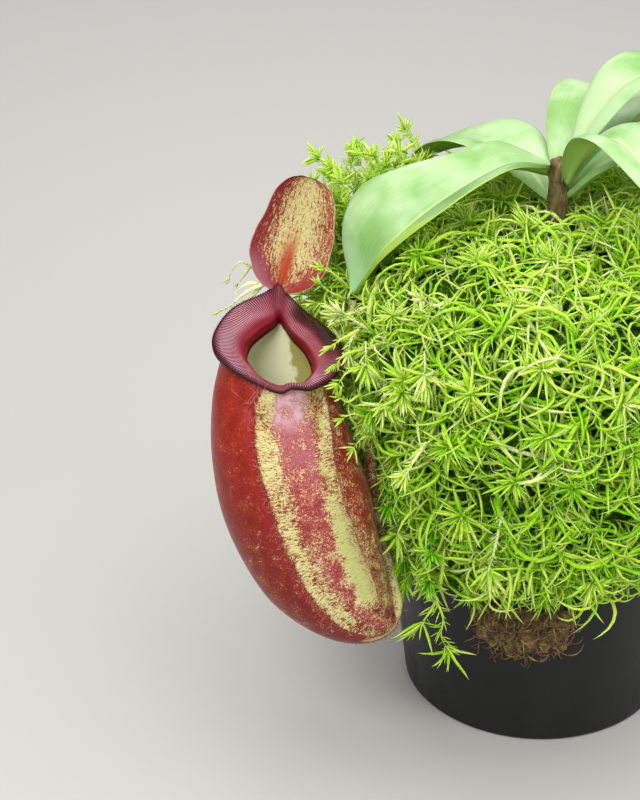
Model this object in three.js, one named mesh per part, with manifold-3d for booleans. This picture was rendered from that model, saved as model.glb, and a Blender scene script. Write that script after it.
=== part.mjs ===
// A potted nepenthes hybrid: a tropical pitcher plant whose one large trap hangs beside its pot.
// Millimetres, +Z up. The origin is the middle of the pot's underside. The trap hangs towards -X and -Y.
import * as THREE from "three";
import { mergeVertices } from "three/addons/utils/BufferGeometryUtils.js";
import Module from "manifold-3d";

const wasm = await Module();
wasm.setup();

const GAP = 0.3; // left between pieces that touch
const TURN = 2 * Math.PI;

// Pot: a tapered moulded pot with a thickened rim and drainage holes
const POT_HEIGHT = 140;
const POT_BASE_RADIUS = 55;
const POT_TOP_RADIUS = 71.5; // outside of the wall, under the rim
const POT_WALL = 1.6;
const POT_FLOOR = 2.4;
const RIM_DEPTH = 11;
const RIM_STEP = 1.6; // how far the rim stands out from the wall
const HOLE_RADIUS = 5;
const HOLE_CIRCLE = 36;
const HOLE_COUNT = 6;
const POT_SEGMENTS = 48;

// Growing mix, stem and roots
const MIX_TOP = 131;
const MIX_CROWN = 3; // the mix stands this much higher in its middle
const STEM_RADIUS = 4.2;
const STEM_FOOT = 104;
const STEM_TOP = 239;
const ROOT_RADIUS = 1.7;
const ROOT_COUNT = 5;
const ROOT_SPREAD = 40;
const ROOT_DEPTH = 66;
const ROOT_SWEEP = 0.5; // radians that a root turns aside on its way out
const MIX_SHOULDER = [40, 0.7]; // the radius where the mix has risen by this share of its crown

// Live moss: a cushion on the mix that bulges over the rim, and clumps that hang from it
const MOSS_RADIUS = 88;
const MOSS_TOP = 213;
const MOSS_SQUARENESS = 3.4; // 2 would be a half ellipse, more is a flatter top and steeper sides
const MOSS_SKIRT = 3; // height of the cushion's upright edge, below its dome
const MOSS_BUMP = 1.8;
// The waves round the cushion's side: how many, how strong against the first, and where they start
const MOSS_WAVES = [[5, 1, 1], [9, 0.6, 5.3]];
const MOSS_SEGMENTS = 44;
const STEM_CLEARANCE = 1;
// The moss reaches further out behind the trap than elsewhere
const LOBE_REACH = 9;
const LOBE_AZIMUTH = THREE.MathUtils.degToRad(171);
const LOBE_WIDTH = THREE.MathUtils.degToRad(9);
const CLUMP_TOP_RADIUS = 87;
const CLUMP_FOOT_THICKNESS = 5;
const CLUMP_BELLY = 0.82; // how far a clump still stands out halfway down
const CLUMP_HOLLOW = 2; // how much less it stands out in its middle than at its ends
const CLUMP_FRINGE = 5; // how far its lower edge goes up and down
const CLUMP_STEP = 5; // degrees between its rings
const CLUMP_SEAM = 0.25; // degrees left free at each end of a clump
// Dead moss: where it hangs round the pot, in degrees, its height and its thickness below and above
const DEAD_MOSS = { from: 243, to: 276, top: 73, foot: 48, arch: 9, thin: 3, thick: 5 };

// Trap: it hangs in its own frame, x to the right and z up, and leans back onto the moss
const TRAP_PLACE = [-100, -58, 138];
const TRAP_LEAN = 14; // degrees
const TRAP_WALL = 1.5;
const TRAP_ROUNDNESS = 0.88; // depth of the cup over its width
const TRAP_SIDES = 28;
const TRAP_RINGS = 20;
const SOLID_RINGS = 5; // the cup is solid from this many rings above its tip
const LIP_THICKNESS = 1.5;
const LIP_STEPS = 36;
const LIP_ARCH = 2.2; // how far the collar bulges between its edges
const RIM_SHARE = 0.34; // where the cup meets the collar, from its inner edge at 0 to its outer at 1
const TRAP_TENDRIL_SWELL = [1.2, 1.25, 1.3, 1.4, 1.6, 1.9, 2, 2, 2, 1.9, 1.5]; // radii at equal steps
const TRAP_TENDRIL_STEPS = 34;
const LID_THICKNESS = 0.9;
const LID_CUPPING = 2.4; // how far its edges come forward
const LID_ARCH = 2.5; // how far its middle stands back from its base and tip
const SPUR_RADIUS = 0.6;
const BLADE_THICKNESS = 1.1;
const LEAF_FOLD = THREE.MathUtils.degToRad(18); // each half of a blade rises this much from the midrib
const LEAF_STALK = 1.6; // half the width that a blade keeps at its base and tip
// The tendrils of the other leaves, at equal steps: how far out, how far down and how thick
const TENDRIL_REACH = [0, 3, 8, 12, 12.5, 10];
const TENDRIL_FALL = [0, -1, -6, -14, -20, -23];
const TENDRIL_SWELL = [0.9, 0.8, 0.8, 1, 2.1, 1.2];
const SHORT_TENDRIL = 0.7; // how far the tendril of a raised leaf hangs against the others

const green = { roughness: 0.42, metalness: 0 };
const MATERIALS = {
  plastic: { color: 0x2b2c2e, roughness: 0.55, metalness: 0 },
  mix: { color: 0x4a3524, roughness: 0.95, metalness: 0 },
  wood: { color: 0x5a4632, roughness: 0.8, metalness: 0 },
  root: { color: 0x2a1d16, roughness: 0.9, metalness: 0 },
  moss: { color: 0xa9cf3c, roughness: 0.9, metalness: 0 },
  deadMoss: { color: 0x7a6238, roughness: 0.95, metalness: 0 },
  leaf: { color: 0x8fc86a, ...green },
  tendril: { color: 0x9a7a3a, ...green },
  cup: { color: 0xa23a34, roughness: 0.38, metalness: 0 },
  lip: { color: 0x6d1b2c, roughness: 0.25, metalness: 0 },
  lid: { color: 0xb8673f, roughness: 0.45, metalness: 0 },
};

const plant = new THREE.Group();

const at = (x, y, z) => new THREE.Vector3(x, y, z);
const radians = THREE.MathUtils.degToRad;
const mix = THREE.MathUtils.lerp;

// The value at a place from 0 to 1 in a list of values at equal steps.
function between(values, place) {
  const s = place * (values.length - 1);
  const k = Math.min(Math.floor(s), values.length - 2);
  return mix(values[k], values[k + 1], s - k);
}

// The smooth curve through a list of [x, y, z] points.
function curveThrough(points, closed = false) {
  return new THREE.CatmullRomCurve3(points.map((p) => at(...p)), closed, "centripetal");
}

// Adds one named piece to a group, with the finish of the given name.
function add(group, name, finish, geometry) {
  const mesh = new THREE.Mesh(geometry, new THREE.MeshStandardMaterial(MATERIALS[finish]));
  mesh.name = name;
  group.add(mesh);
  return mesh;
}

// Six times the volume that a triangle list encloses, negative where its faces point inwards.
function signedVolume(points, index) {
  let sum = 0;
  for (let i = 0; i < index.length; i += 3) {
    const [a, b, c] = [points[index[i]], points[index[i + 1]], points[index[i + 2]]];
    sum += a.dot(at(0, 0, 0).crossVectors(b, c));
  }
  return sum;
}

// A closed body through rings of equally many points: joined end to end, or with each end filled.
function loft(rings, joined = false) {
  const around = rings[0].length;
  const points = rings.flat();
  const index = [];
  const bands = joined ? rings.length : rings.length - 1;
  for (let i = 0; i < bands; i++) {
    const here = i * around;
    const next = ((i + 1) % rings.length) * around;
    for (let k = 0; k < around; k++) {
      const m = (k + 1) % around;
      index.push(here + k, here + m, next + m, here + k, next + m, next + k);
    }
  }
  if (!joined) {
    fillEnd(points, index, 0, around, true);
    fillEnd(points, index, (rings.length - 1) * around, around, false);
  }
  if (signedVolume(points, index) < 0) index.reverse();
  return new THREE.BufferGeometry().setFromPoints(points).setIndex(index);
}

// Fills a ring with triangles about its middle.
function fillEnd(points, index, first, around, flipped) {
  const middle = at(0, 0, 0);
  for (let k = 0; k < around; k++) middle.addScaledVector(points[first + k], 1 / around);
  const hub = points.push(middle) - 1;
  for (let k = 0; k < around; k++) {
    const a = first + k;
    const b = first + ((k + 1) % around);
    if (flipped) index.push(hub, b, a);
    else index.push(hub, a, b);
  }
}

// A round bar along a curve.
function bar(curve, radius, steps, sides = 8) {
  const circle = new THREE.Shape().absarc(0, 0, radius, 0, TURN);
  const curveSegments = sides / 2;
  return new THREE.ExtrudeGeometry(circle, { extrudePath: curve, steps, curveSegments });
}

// A round bar whose radius changes along its curve, given at equal steps.
function swollenBar(curve, swell, steps, sides = 8) {
  const frames = curve.computeFrenetFrames(steps, false);
  const rings = [];
  for (let i = 0; i <= steps; i++) {
    const radius = between(swell, i / steps);
    const middle = curve.getPointAt(i / steps);
    const ring = [];
    for (let j = 0; j < sides; j++) {
      const angle = (TURN * j) / sides;
      ring.push(middle.clone()
        .addScaledVector(frames.normals[i], radius * Math.cos(angle))
        .addScaledVector(frames.binormals[i], radius * Math.sin(angle)));
    }
    rings.push(ring);
  }
  return loft(rings);
}

// The solid of a closed geometry, for joining and cutting.
function solidOf(geometry) {
  const bare = geometry.clone();
  bare.deleteAttribute("normal");
  bare.deleteAttribute("uv");
  const merged = mergeVertices(bare, 1e-3);
  const vertProperties = merged.attributes.position.array;
  const triVerts = new Uint32Array(merged.index.array);
  return new wasm.Manifold(new wasm.Mesh({ numProp: 3, vertProperties, triVerts }));
}

function geometryOf(solid) {
  const mesh = solid.getMesh();
  const position = new THREE.BufferAttribute(mesh.vertProperties, mesh.numProp);
  return new THREE.BufferGeometry()
    .setAttribute("position", position)
    .setIndex(new THREE.BufferAttribute(mesh.triVerts, 1));
}

function joined(geometries) {
  return geometryOf(geometries.map(solidOf).reduce((a, b) => a.add(b)));
}

function cut(geometry, tools) {
  return geometryOf(tools.map(solidOf).reduce((a, b) => a.subtract(b), solidOf(geometry)));
}

// The outside of the pot's wall, and its inside, at a height.
const wallRadius = (z) => mix(POT_BASE_RADIUS, POT_TOP_RADIUS, z / POT_HEIGHT);
const insideRadius = (z) => wallRadius(z) - POT_WALL;

// A body turned about the Z axis from a profile of [radius, z] points.
function lathe(profile, segments) {
  return new THREE.LatheGeometry(profile.map(([r, z]) => new THREE.Vector2(r, z)), segments)
    .rotateX(Math.PI / 2);
}

function makePot() {
  const underRim = POT_HEIGHT - RIM_DEPTH;
  const rim = POT_TOP_RADIUS + RIM_STEP;
  const profile = [
    [0, 0],
    [POT_BASE_RADIUS, 0],
    [wallRadius(underRim), underRim],
    [rim, underRim + 1],
    [rim, POT_HEIGHT],
    [insideRadius(POT_HEIGHT), POT_HEIGHT],
    [insideRadius(POT_FLOOR), POT_FLOOR],
    [0, POT_FLOOR],
  ];
  const holes = [];
  for (let i = 0; i < HOLE_COUNT; i++) {
    const angle = (TURN * i) / HOLE_COUNT;
    const hole = new THREE.CylinderGeometry(HOLE_RADIUS, HOLE_RADIUS, 3 * POT_FLOOR, 16);
    hole.rotateX(Math.PI / 2);
    hole.translate(HOLE_CIRCLE * Math.cos(angle), HOLE_CIRCLE * Math.sin(angle), POT_FLOOR / 2);
    holes.push(hole);
  }
  return cut(lathe(profile, POT_SEGMENTS), holes);
}

// The stem, and the roots that spread from a crown at its foot. grow widens them and makes them
// longer, which gives the space that they take in the mix.
function makeStem(grow) {
  const curve = curveThrough([[0, 0, STEM_FOOT - grow], [0.4, 0, 170], [0, 0, STEM_TOP]]);
  return bar(curve, STEM_RADIUS + grow, 8, 10);
}

function rootCurve(i, grow) {
  const angle = (TURN * i) / ROOT_COUNT;
  const shorter = 0.25 * (1 - Math.sin(2.3 * i)); // no two roots reach equally far
  const reach = (ROOT_SPREAD + grow) * (1 - shorter);
  const fall = ROOT_DEPTH + grow;
  const path = [0, 0.3, 0.7, 1].map((s) => [
    reach * s * Math.cos(angle + ROOT_SWEEP * s),
    reach * s * Math.sin(angle + ROOT_SWEEP * s),
    STEM_FOOT - GAP - 2 * ROOT_RADIUS - fall * mix(0.2, 1, s) * s,
  ]);
  return curveThrough(path);
}

function makeRoots(grow) {
  const crown = new THREE.SphereGeometry(STEM_RADIUS + grow, 12, 8);
  crown.translate(0, 0, STEM_FOOT - GAP - STEM_RADIUS);
  const roots = [crown];
  for (let i = 0; i < ROOT_COUNT; i++) {
    roots.push(bar(rootCurve(i, grow), ROOT_RADIUS + grow, 8, 6));
  }
  return joined(roots);
}

function makeMix() {
  const profile = [
    [0, POT_FLOOR + GAP],
    [insideRadius(POT_FLOOR) - 2 * GAP, POT_FLOOR + GAP],
    [insideRadius(MIX_TOP) - 2 * GAP, MIX_TOP],
    [MIX_SHOULDER[0], MIX_TOP + MIX_SHOULDER[1] * MIX_CROWN],
    [0, MIX_TOP + MIX_CROWN],
  ];
  const body = lathe(profile, POT_SEGMENTS);
  return cut(body, [makeRoots(2 * GAP), makeStem(1.5 * GAP)]);
}

// How far the moss stands out or in at an azimuth, so that the cushion isn't a turned shape.
function mossBump(azimuth) {
  const turned = (azimuth + TURN) % TURN;
  const lobe = LOBE_REACH * Math.exp(-0.5 * ((turned - LOBE_AZIMUTH) / LOBE_WIDTH) ** 2);
  const wave = MOSS_WAVES.reduce((sum, [n, size, start]) => sum + size * Math.sin(n * turned + start), 0);
  return lobe + (MOSS_BUMP * wave) / MOSS_WAVES.reduce((sum, [, size]) => sum + size, 0);
}

function makeMossCushion(tools) {
  const foot = MIX_TOP + MIX_CROWN + GAP;
  const brim = POT_HEIGHT + GAP;
  const height = MOSS_TOP - brim;
  const hole = STEM_RADIUS + STEM_CLEARANCE;
  const plug = insideRadius(brim) - 2 * GAP;
  const profile = [
    [hole, foot],
    [insideRadius(foot) - 2 * GAP, foot],
    [plug, brim],
    [MOSS_RADIUS - 4, brim],
  ];
  const domeSteps = 10;
  for (let i = 0; i <= domeSteps; i++) {
    const rise = Math.sin((Math.PI / 2) * (i / domeSteps));
    const reach = (1 - rise ** MOSS_SQUARENESS) ** (1 / MOSS_SQUARENESS);
    const z = brim + mix(MOSS_SKIRT, height, rise);
    profile.push([mix(hole, MOSS_RADIUS, reach), z]);
  }
  profile.push([hole, foot]);
  const body = lathe(profile, MOSS_SEGMENTS);
  const place = body.attributes.position;
  for (let i = 0; i < place.count; i++) {
    const p = at(0, 0, 0).fromBufferAttribute(place, i);
    const radius = Math.hypot(p.x, p.y);
    if (radius < plug + 1) continue;
    const scale = 1 + mossBump(Math.atan2(p.y, p.x)) / radius;
    place.setXYZ(i, p.x * scale, p.y * scale, p.z);
  }
  return cut(body, tools);
}

// Clumps that hang over the rim: where each starts and ends round the pot, and its foot's height
const CLUMPS = [
  { from: 158, to: 204, foot: 104 },
  { from: 204, to: 228, foot: 118 },
  { from: 228, to: 262, foot: 75 },
  { from: 262, to: 296, foot: 78 },
  { from: 296, to: 340, foot: 86 },
  { from: 340, to: 385, foot: 98 },
  { from: 385, to: 452, foot: 90 },
  { from: 452, to: 518, foot: 101 },
];

function makeClump({ from, to, foot }) {
  const top = POT_HEIGHT - GAP;
  const rim = POT_TOP_RADIUS + RIM_STEP + 2 * GAP;
  const under = POT_HEIGHT - RIM_DEPTH - 2;
  const steps = Math.round((to - from) / CLUMP_STEP);
  const rings = [];
  for (let i = 0; i <= steps; i++) {
    const share = i / steps;
    const azimuth = radians(mix(from + CLUMP_SEAM, to - CLUMP_SEAM, share));
    const low = foot + (i % 2) * CLUMP_FRINGE * share;
    const footRadius = wallRadius(low) + 2 * GAP;
    const outer = CLUMP_TOP_RADIUS + mossBump(azimuth) - CLUMP_HOLLOW * Math.sin(Math.PI * share);
    const profile = [
      [rim, top],
      [rim, under],
      [wallRadius(under - 2) + 2 * GAP, under - 2],
      [footRadius, low],
      [footRadius + CLUMP_FOOT_THICKNESS, low - 1],
      [mix(footRadius, outer, CLUMP_BELLY), mix(low, top, 0.5)],
      [outer, top - 4],
      [outer - 3, top],
    ];
    rings.push(profile.map(([r, z]) => at(r * Math.cos(azimuth), r * Math.sin(azimuth), z)));
  }
  return loft(rings);
}

// Dead brown moss that hangs below the live clump at the front
function makeDeadMoss() {
  const { from, to, top, foot, arch, thin, thick } = DEAD_MOSS;
  const rings = [];
  const steps = 6;
  for (let i = 0; i <= steps; i++) {
    const azimuth = radians(mix(from, to, i / steps));
    const low = foot + arch * Math.abs(i / steps - 0.5);
    const profile = [
      [wallRadius(top) + 2 * GAP, top],
      [wallRadius(low) + 2 * GAP, low],
      [wallRadius(low) + thin, low],
      [wallRadius(top) + thick, top],
    ];
    rings.push(profile.map(([r, z]) => at(r * Math.cos(azimuth), r * Math.sin(azimuth), z)));
  }
  return loft(rings);
}

// A leaf blade between its left edge, its midrib and its right edge, which are curves from base to tip.
function makeBlade({ left, midrib, right }, thickness = BLADE_THICKNESS) {
  const rows = 12;
  const across = [-1, -0.5, 0, 0.5, 1];
  const rings = [];
  for (let i = 0; i <= rows; i++) {
    const [a, m, b] = [left, midrib, right].map((curve) => curve.getPoint(i / rows));
    const up = at(0, 0, 0).crossVectors(b.clone().sub(a), midrib.getTangent(i / rows)).normalize();
    const row = (lift, steps) => steps.map((u) => m.clone()
      .lerp(u < 0 ? a : b, Math.abs(u))
      .addScaledVector(up, lift * (1 - 0.5 * u * u)));
    rings.push([...row(thickness / 2, across), ...row(-thickness / 2, [...across].reverse())]);
  }
  return loft(rings);
}

// Leaves besides the one that carries the trap: azimuth, height on the stem, length, half width,
// how far the blade rises above its base, and how far its tip is below the base
const LEAVES = [
  { azimuth: 131, base: 219, length: 76, half: 17, rise: 14, drop: 8 },
  { azimuth: 62, base: 219, length: 98, half: 20, rise: 26, drop: 12 },
  { azimuth: 350, base: 222, length: 96, half: 20, rise: 25, drop: 10 },
  { azimuth: 25, base: 233, length: 66, half: 14, rise: 30, drop: -16 },
  { azimuth: 302, base: 229, length: 62, half: 13, rise: 26, drop: -12 },
];

// The three curves of such a leaf: side is -1 for its left edge, 0 for its midrib, 1 for its right.
function leafCurves({ azimuth, base, length, half, rise, drop }) {
  const [c, s] = [Math.cos(radians(azimuth)), Math.sin(radians(azimuth))];
  const edge = (side) => curveThrough([0, 0.12, 0.3, 0.5, 0.7, 0.88, 1].map((t) => {
    const reach = STEM_RADIUS + 3 * GAP + length * t;
    const width = LEAF_STALK + half * Math.sin(Math.PI * t ** 0.85) ** 0.75;
    const out = side * width * Math.cos(LEAF_FOLD);
    const up = Math.abs(side) * width * Math.sin(LEAF_FOLD);
    const z = base + rise * Math.sin(Math.PI * t ** 0.8) - drop * t * t + up;
    return [reach * c + out * s, reach * s - out * c, z];
  }));
  return { left: edge(-1), midrib: edge(0), right: edge(1) };
}

// The thin tendril past a leaf's tip, which curls up at its end into the bud of a trap.
function makeTendril(spine, droop) {
  const tip = spine.getPoint(1);
  const along = spine.getTangent(1);
  const start = tip.clone().addScaledVector(along, 1.6 * GAP);
  const out = at(along.x, along.y, 0).normalize();
  const path = TENDRIL_REACH.map((r, i) => start.clone()
    .addScaledVector(out, r)
    .add(at(0, 0, TENDRIL_FALL[i] * droop))
    .addScaledVector(along, i === 1 ? 1.5 : 0));
  return swollenBar(new THREE.CatmullRomCurve3(path, false, "centripetal"), TENDRIL_SWELL, 12, 6);
}

// The leaf that carries the trap arches over the moss to the left, both its halves turned up.
const trapLeaf = {
  left: curveThrough([
    [-4.6, -2.6, 235.6], [-19.5, -18, 242], [-32, -27.3, 239.8], [-47.2, -35.5, 232.2],
    [-59.4, -38.8, 223.8], [-68, -37.4, 214.8], [-72.6, -32, 205.8], [-77.6, -22.9, 191.6],
  ]),
  midrib: curveThrough([
    [-4.9, -0.8, 233], [-18.4, -4, 239.4], [-33.8, -9, 234.7], [-49.7, -14, 227], [-60.6, -17, 219],
    [-68.1, -18.5, 210.7], [-72.4, -19.6, 201.8], [-78.2, -21, 189.9],
  ]),
  right: curveThrough([
    [-4.9, 1.2, 235.6], [-24.3, 2.9, 244.5], [-42.4, -0.4, 240.7], [-61.5, -1.9, 235.5],
    [-76.1, -2.8, 228.5], [-82.6, -6.2, 218.6], [-83.7, -10.4, 207.4], [-79.6, -19.3, 191.6],
  ]),
};

// The trap's parts are drawn in the trap's own frame, so its frame turns points of that frame.
const trap = new THREE.Group();
trap.position.set(...TRAP_PLACE);
trap.rotation.x = -radians(TRAP_LEAN);
trap.updateMatrix();
const fromTrap = (x, y, z) => at(x, y, z).applyMatrix4(trap.matrix).toArray();

// The tendril leaves the leaf's tip, runs down over the moss and along the cup's side to its tip.
const trapTendril = curveThrough([
  [-79.1, -21.4, 188.1], [-81, -27, 177], [-80.5, -34.5, 164], [-77, -43.5, 151],
  fromTrap(27.3, 5, 3.7), fromTrap(27.4, 5.5, -2.5), fromTrap(27.8, 7.2, -9),
  fromTrap(28.8, 10.5, -19.7), fromTrap(30.7, 10.7, -31.3), fromTrap(33.3, 9.9, -42.7),
  fromTrap(35.3, 8.6, -50.6), fromTrap(36.9, 6.9, -56), fromTrap(37.6, 4.8, -58.4),
]);
const trapTendrilBar = (grow) => swollenBar(
  trapTendril, TRAP_TENDRIL_SWELL.map((r) => r + grow), TRAP_TENDRIL_STEPS,
);

// The cup's sides in its own frame, from the shoulder under the collar to the tip, as [x, z]
const CUP_LEFT = [
  [-30.6, 37], [-32.9, 28], [-34, 17], [-34.1, 6], [-33.4, -3], [-31.8, -14], [-28.6, -26],
  [-22.2, -40.5], [-12.7, -55.6], [-1, -66], [11, -72.6], [22, -75], [30.8, -73.6], [37.2, -69],
  [39.9, -61],
];
const CUP_RIGHT = [
  [11.2, 29.5], [14.6, 22], [18.2, 14.2], [21.2, 5.2], [23.8, -2.6], [26.2, -10], [28.4, -19],
  [29.9, -28], [31.8, -36.5], [33.6, -45], [35.2, -52], [36, -56.5], [36.4, -59], [36.4, -60.3],
  [36.6, -60.6],
];
// How much a ring of the cup rises for each millimetre towards the back, at the same places
const CUP_TILT = [0.52, 0.4, 0.28, 0.16, 0.08, 0.03, 0, 0, 0, 0, 0, 0, 0, 0, 0];

// The collar's inner and outer edges, from the front round the left, the back and the right
const LIP_INNER = [
  [-6, -16.2, 34.6], [-12.5, -15.2, 35.6], [-17.4, -11.2, 38.8], [-19.3, -5.5, 42.2],
  [-18, 0.5, 45.6], [-13.5, 7.4, 49.2], [-7.6, 13, 53.6], [-3, 7.6, 47.4], [1.9, 1, 43.2],
  [4.3, -5.5, 38.5], [3.6, -10.8, 36.2], [0, -14.6, 34.3],
];
const LIP_OUTER = [
  [-5.5, -21.2, 33.3], [-16, -19.5, 36.6], [-25.5, -14.5, 41], [-32, -6.5, 45.8],
  [-32.3, 1, 50.5], [-25.5, 11, 57.8], [-8.3, 17, 64], [1.8, 13, 56.2], [9.8, 8.8, 51.3],
  [16, 0, 45.5], [14.5, -10, 39], [6, -18.5, 34.8],
];
const lipInner = curveThrough(LIP_INNER, true);
const lipOuter = curveThrough(LIP_OUTER, true);

// A point of the collar: turn goes round the mouth, share from the inner edge to the outer one,
// and lift is the height above the collar's middle surface.
function lipPoint(turn, share, lift) {
  const inner = lipInner.getPoint(turn % 1);
  const outer = lipOuter.getPoint(turn % 1);
  const along = lipInner.getTangent(turn % 1).add(lipOuter.getTangent(turn % 1));
  const up = at(0, 0, 0).crossVectors(along, outer.clone().sub(inner)).normalize();
  return inner.lerp(outer, share).addScaledVector(up, LIP_ARCH * Math.sin(Math.PI * share) + lift);
}

function makeLip() {
  const shares = [0, 0.25, 0.5, 0.75, 1];
  const rings = [];
  for (let i = 0; i < LIP_STEPS; i++) {
    const turn = i / LIP_STEPS;
    const top = shares.map((s) => lipPoint(turn, s, LIP_THICKNESS / 2));
    const under = shares.map((s) => lipPoint(turn, s, -LIP_THICKNESS / 2)).reverse();
    rings.push([...top, ...under]);
  }
  return loft(rings, true);
}

// A ring of the cup at a place from 0, the shoulder, to 1, the tip. grow widens it all round.
const asPoint = ([x, z]) => [x, 0, z];
const cupLeft = curveThrough(CUP_LEFT.map(asPoint));
const cupRight = curveThrough(CUP_RIGHT.map(asPoint));

function cupRing(place, grow) {
  const left = cupLeft.getPoint(place);
  const right = cupRight.getPoint(place);
  const middle = left.clone().lerp(right, 0.5);
  const across = right.clone().sub(left).normalize();
  const half = left.distanceTo(right) / 2 + grow;
  const deep = (left.distanceTo(right) / 2) * TRAP_ROUNDNESS + grow;
  const tilt = between(CUP_TILT, place);
  const ring = [];
  for (let j = 0; j < TRAP_SIDES; j++) {
    // counted from the front round the left, as the collar's edges are
    const angle = (TURN * j) / TRAP_SIDES;
    const back = -deep * Math.cos(angle);
    ring.push(middle.clone()
      .addScaledVector(across, -half * Math.sin(angle))
      .add(at(0, back, tilt * back)));
  }
  return ring;
}

// The cup's edge, just under the collar.
function rimRing(grow) {
  const ring = [];
  for (let j = 0; j < TRAP_SIDES; j++) {
    const turn = j / TRAP_SIDES;
    const width = lipInner.getPoint(turn).distanceTo(lipOuter.getPoint(turn));
    ring.push(lipPoint(turn, RIM_SHARE + grow / width, -LIP_THICKNESS / 2 - 2 * GAP));
  }
  return ring;
}

// The ring between the cup's edge and its shoulder, which has gone further out than down.
function shoulderRing(grow) {
  const rim = rimRing(grow);
  const shoulder = cupRing(0, grow);
  const [out, down] = [0.66, 0.42];
  return rim.map((p, j) => at(
    mix(p.x, shoulder[j].x, out), mix(p.y, shoulder[j].y, out), mix(p.z, shoulder[j].z, down),
  ));
}

function cupSide(grow, last) {
  const rings = [rimRing(grow), shoulderRing(grow)];
  for (let i = 0; i <= last; i++) rings.push(cupRing(i / TRAP_RINGS, grow));
  return rings;
}

function makeCup() {
  const outside = cupSide(0, TRAP_RINGS);
  const inside = cupSide(-TRAP_WALL, TRAP_RINGS - SOLID_RINGS);
  return loft([...outside.reverse(), ...inside]);
}

// What the cup and a small clearance fill, to cut its seat in the moss.
function makeCupSpace() {
  return loft(cupSide(2 * GAP, TRAP_RINGS)).applyMatrix4(trap.matrix);
}

// The lid stands up from the back of the collar, its underside to the front
const LID_BASE = [-7.9, 18.2, 64.1];
const LID_TIP = [3.4, 30.2, 104.3];
const LID_LEFT = [[0, 4], [0.05, 9], [0.13, 12.6], [0.3, 15.3], [0.42, 14.9], [0.6, 13], [0.78, 11],
  [0.92, 7], [1, 2.4]];
const LID_RIGHT = [[0, 4], [0.05, 9.6], [0.13, 13.4], [0.3, 15.8], [0.45, 15.8], [0.62, 14.6],
  [0.8, 12.2], [0.93, 8.4], [1, 2.8]];

// The value at a place in a list of [place, value].
function valueAt(list, place) {
  const k = Math.max(1, list.findIndex(([p]) => p >= place));
  const [[p0, v0], [p1, v1]] = [list[k - 1], list[k]];
  return mix(v0, v1, (place - p0) / (p1 - p0));
}

function makeLid() {
  const base = at(...LID_BASE);
  const tip = at(...LID_TIP);
  const along = tip.clone().sub(base).normalize();
  const right = at(1, 0, 0).addScaledVector(along, -along.x).normalize();
  const front = at(0, 0, 0).crossVectors(right, along).normalize();
  const rings = [];
  const rows = 12;
  for (let i = 0; i <= rows; i++) {
    const s = i / rows;
    const middle = base.clone().lerp(tip, s);
    const spots = [-1, -0.55, 0, 0.55, 1];
    const row = (lift, steps) => steps.map((u) => middle.clone()
      .addScaledVector(right, u * valueAt(u < 0 ? LID_LEFT : LID_RIGHT, s))
      .addScaledVector(front, LID_CUPPING * u * u + lift - LID_ARCH * Math.sin(Math.PI * s)));
    rings.push([...row(LID_THICKNESS / 2, spots), ...row(-LID_THICKNESS / 2, spots.reverse())]);
  }
  return loft(rings);
}

const lidSpur = curveThrough([[-8.4, 16.5, 61.4], [-9, 21, 61.2], [-9.8, 26, 63], [-10.2, 29, 66]]);

add(plant, "pot", "plastic", makePot());
add(plant, "growing_mix", "mix", makeMix());
add(plant, "roots", "root", makeRoots(0));
add(plant, "stem", "wood", makeStem(0));

const leafSpace = makeBlade(trapLeaf, 4 * BLADE_THICKNESS);
const tendrilStart = new THREE.SphereGeometry(TRAP_TENDRIL_SWELL[0] + 2 * GAP, 12, 8);
tendrilStart.translate(...trapTendril.getPoint(0).toArray());
const tendrilSpace = joined([trapTendrilBar(GAP), tendrilStart]);
add(plant, "moss_cushion", "moss", makeMossCushion([makeCupSpace(), tendrilSpace, leafSpace]));
CLUMPS.forEach((clump, i) => {
  add(plant, `moss_clump_${i + 1}`, "moss", cut(makeClump(clump), [makeCupSpace(), tendrilSpace]));
});
add(plant, "dead_moss", "deadMoss", makeDeadMoss());

add(plant, "leaf_trap", "leaf", makeBlade(trapLeaf));
LEAVES.forEach((leaf, i) => {
  const curves = leafCurves(leaf);
  add(plant, `leaf_${i + 1}`, "leaf", makeBlade(curves));
  const droop = leaf.drop > 0 ? 1 : SHORT_TENDRIL;
  add(plant, `leaf_${i + 1}_tendril`, "tendril", makeTendril(curves.midrib, droop));
});

add(plant, "trap_tendril", "tendril", trapTendrilBar(0));
add(trap, "trap_cup", "cup", makeCup());
add(trap, "trap_lip", "lip", makeLip());
add(trap, "trap_lid", "lid", makeLid());
add(trap, "trap_spur", "lid", bar(lidSpur, SPUR_RADIUS, 8, 6));
plant.add(trap);

export default plant;
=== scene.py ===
# %% [markdown]
# # A potted nepenthes hybrid
#
# A tropical pitcher plant grows in a plastic pot topped with live sphagnum, and one large trap hangs
# at the pot's side. Its solid model fixes where every part is and how big. This script loads that
# model as a frame, builds each visible part in its place, and gives it the finish of the real one.

# %% Load the solid model
import math

import bmesh
import bpy
import numpy as np
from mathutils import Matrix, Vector
from mathutils.bvhtree import BVHTree


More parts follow.
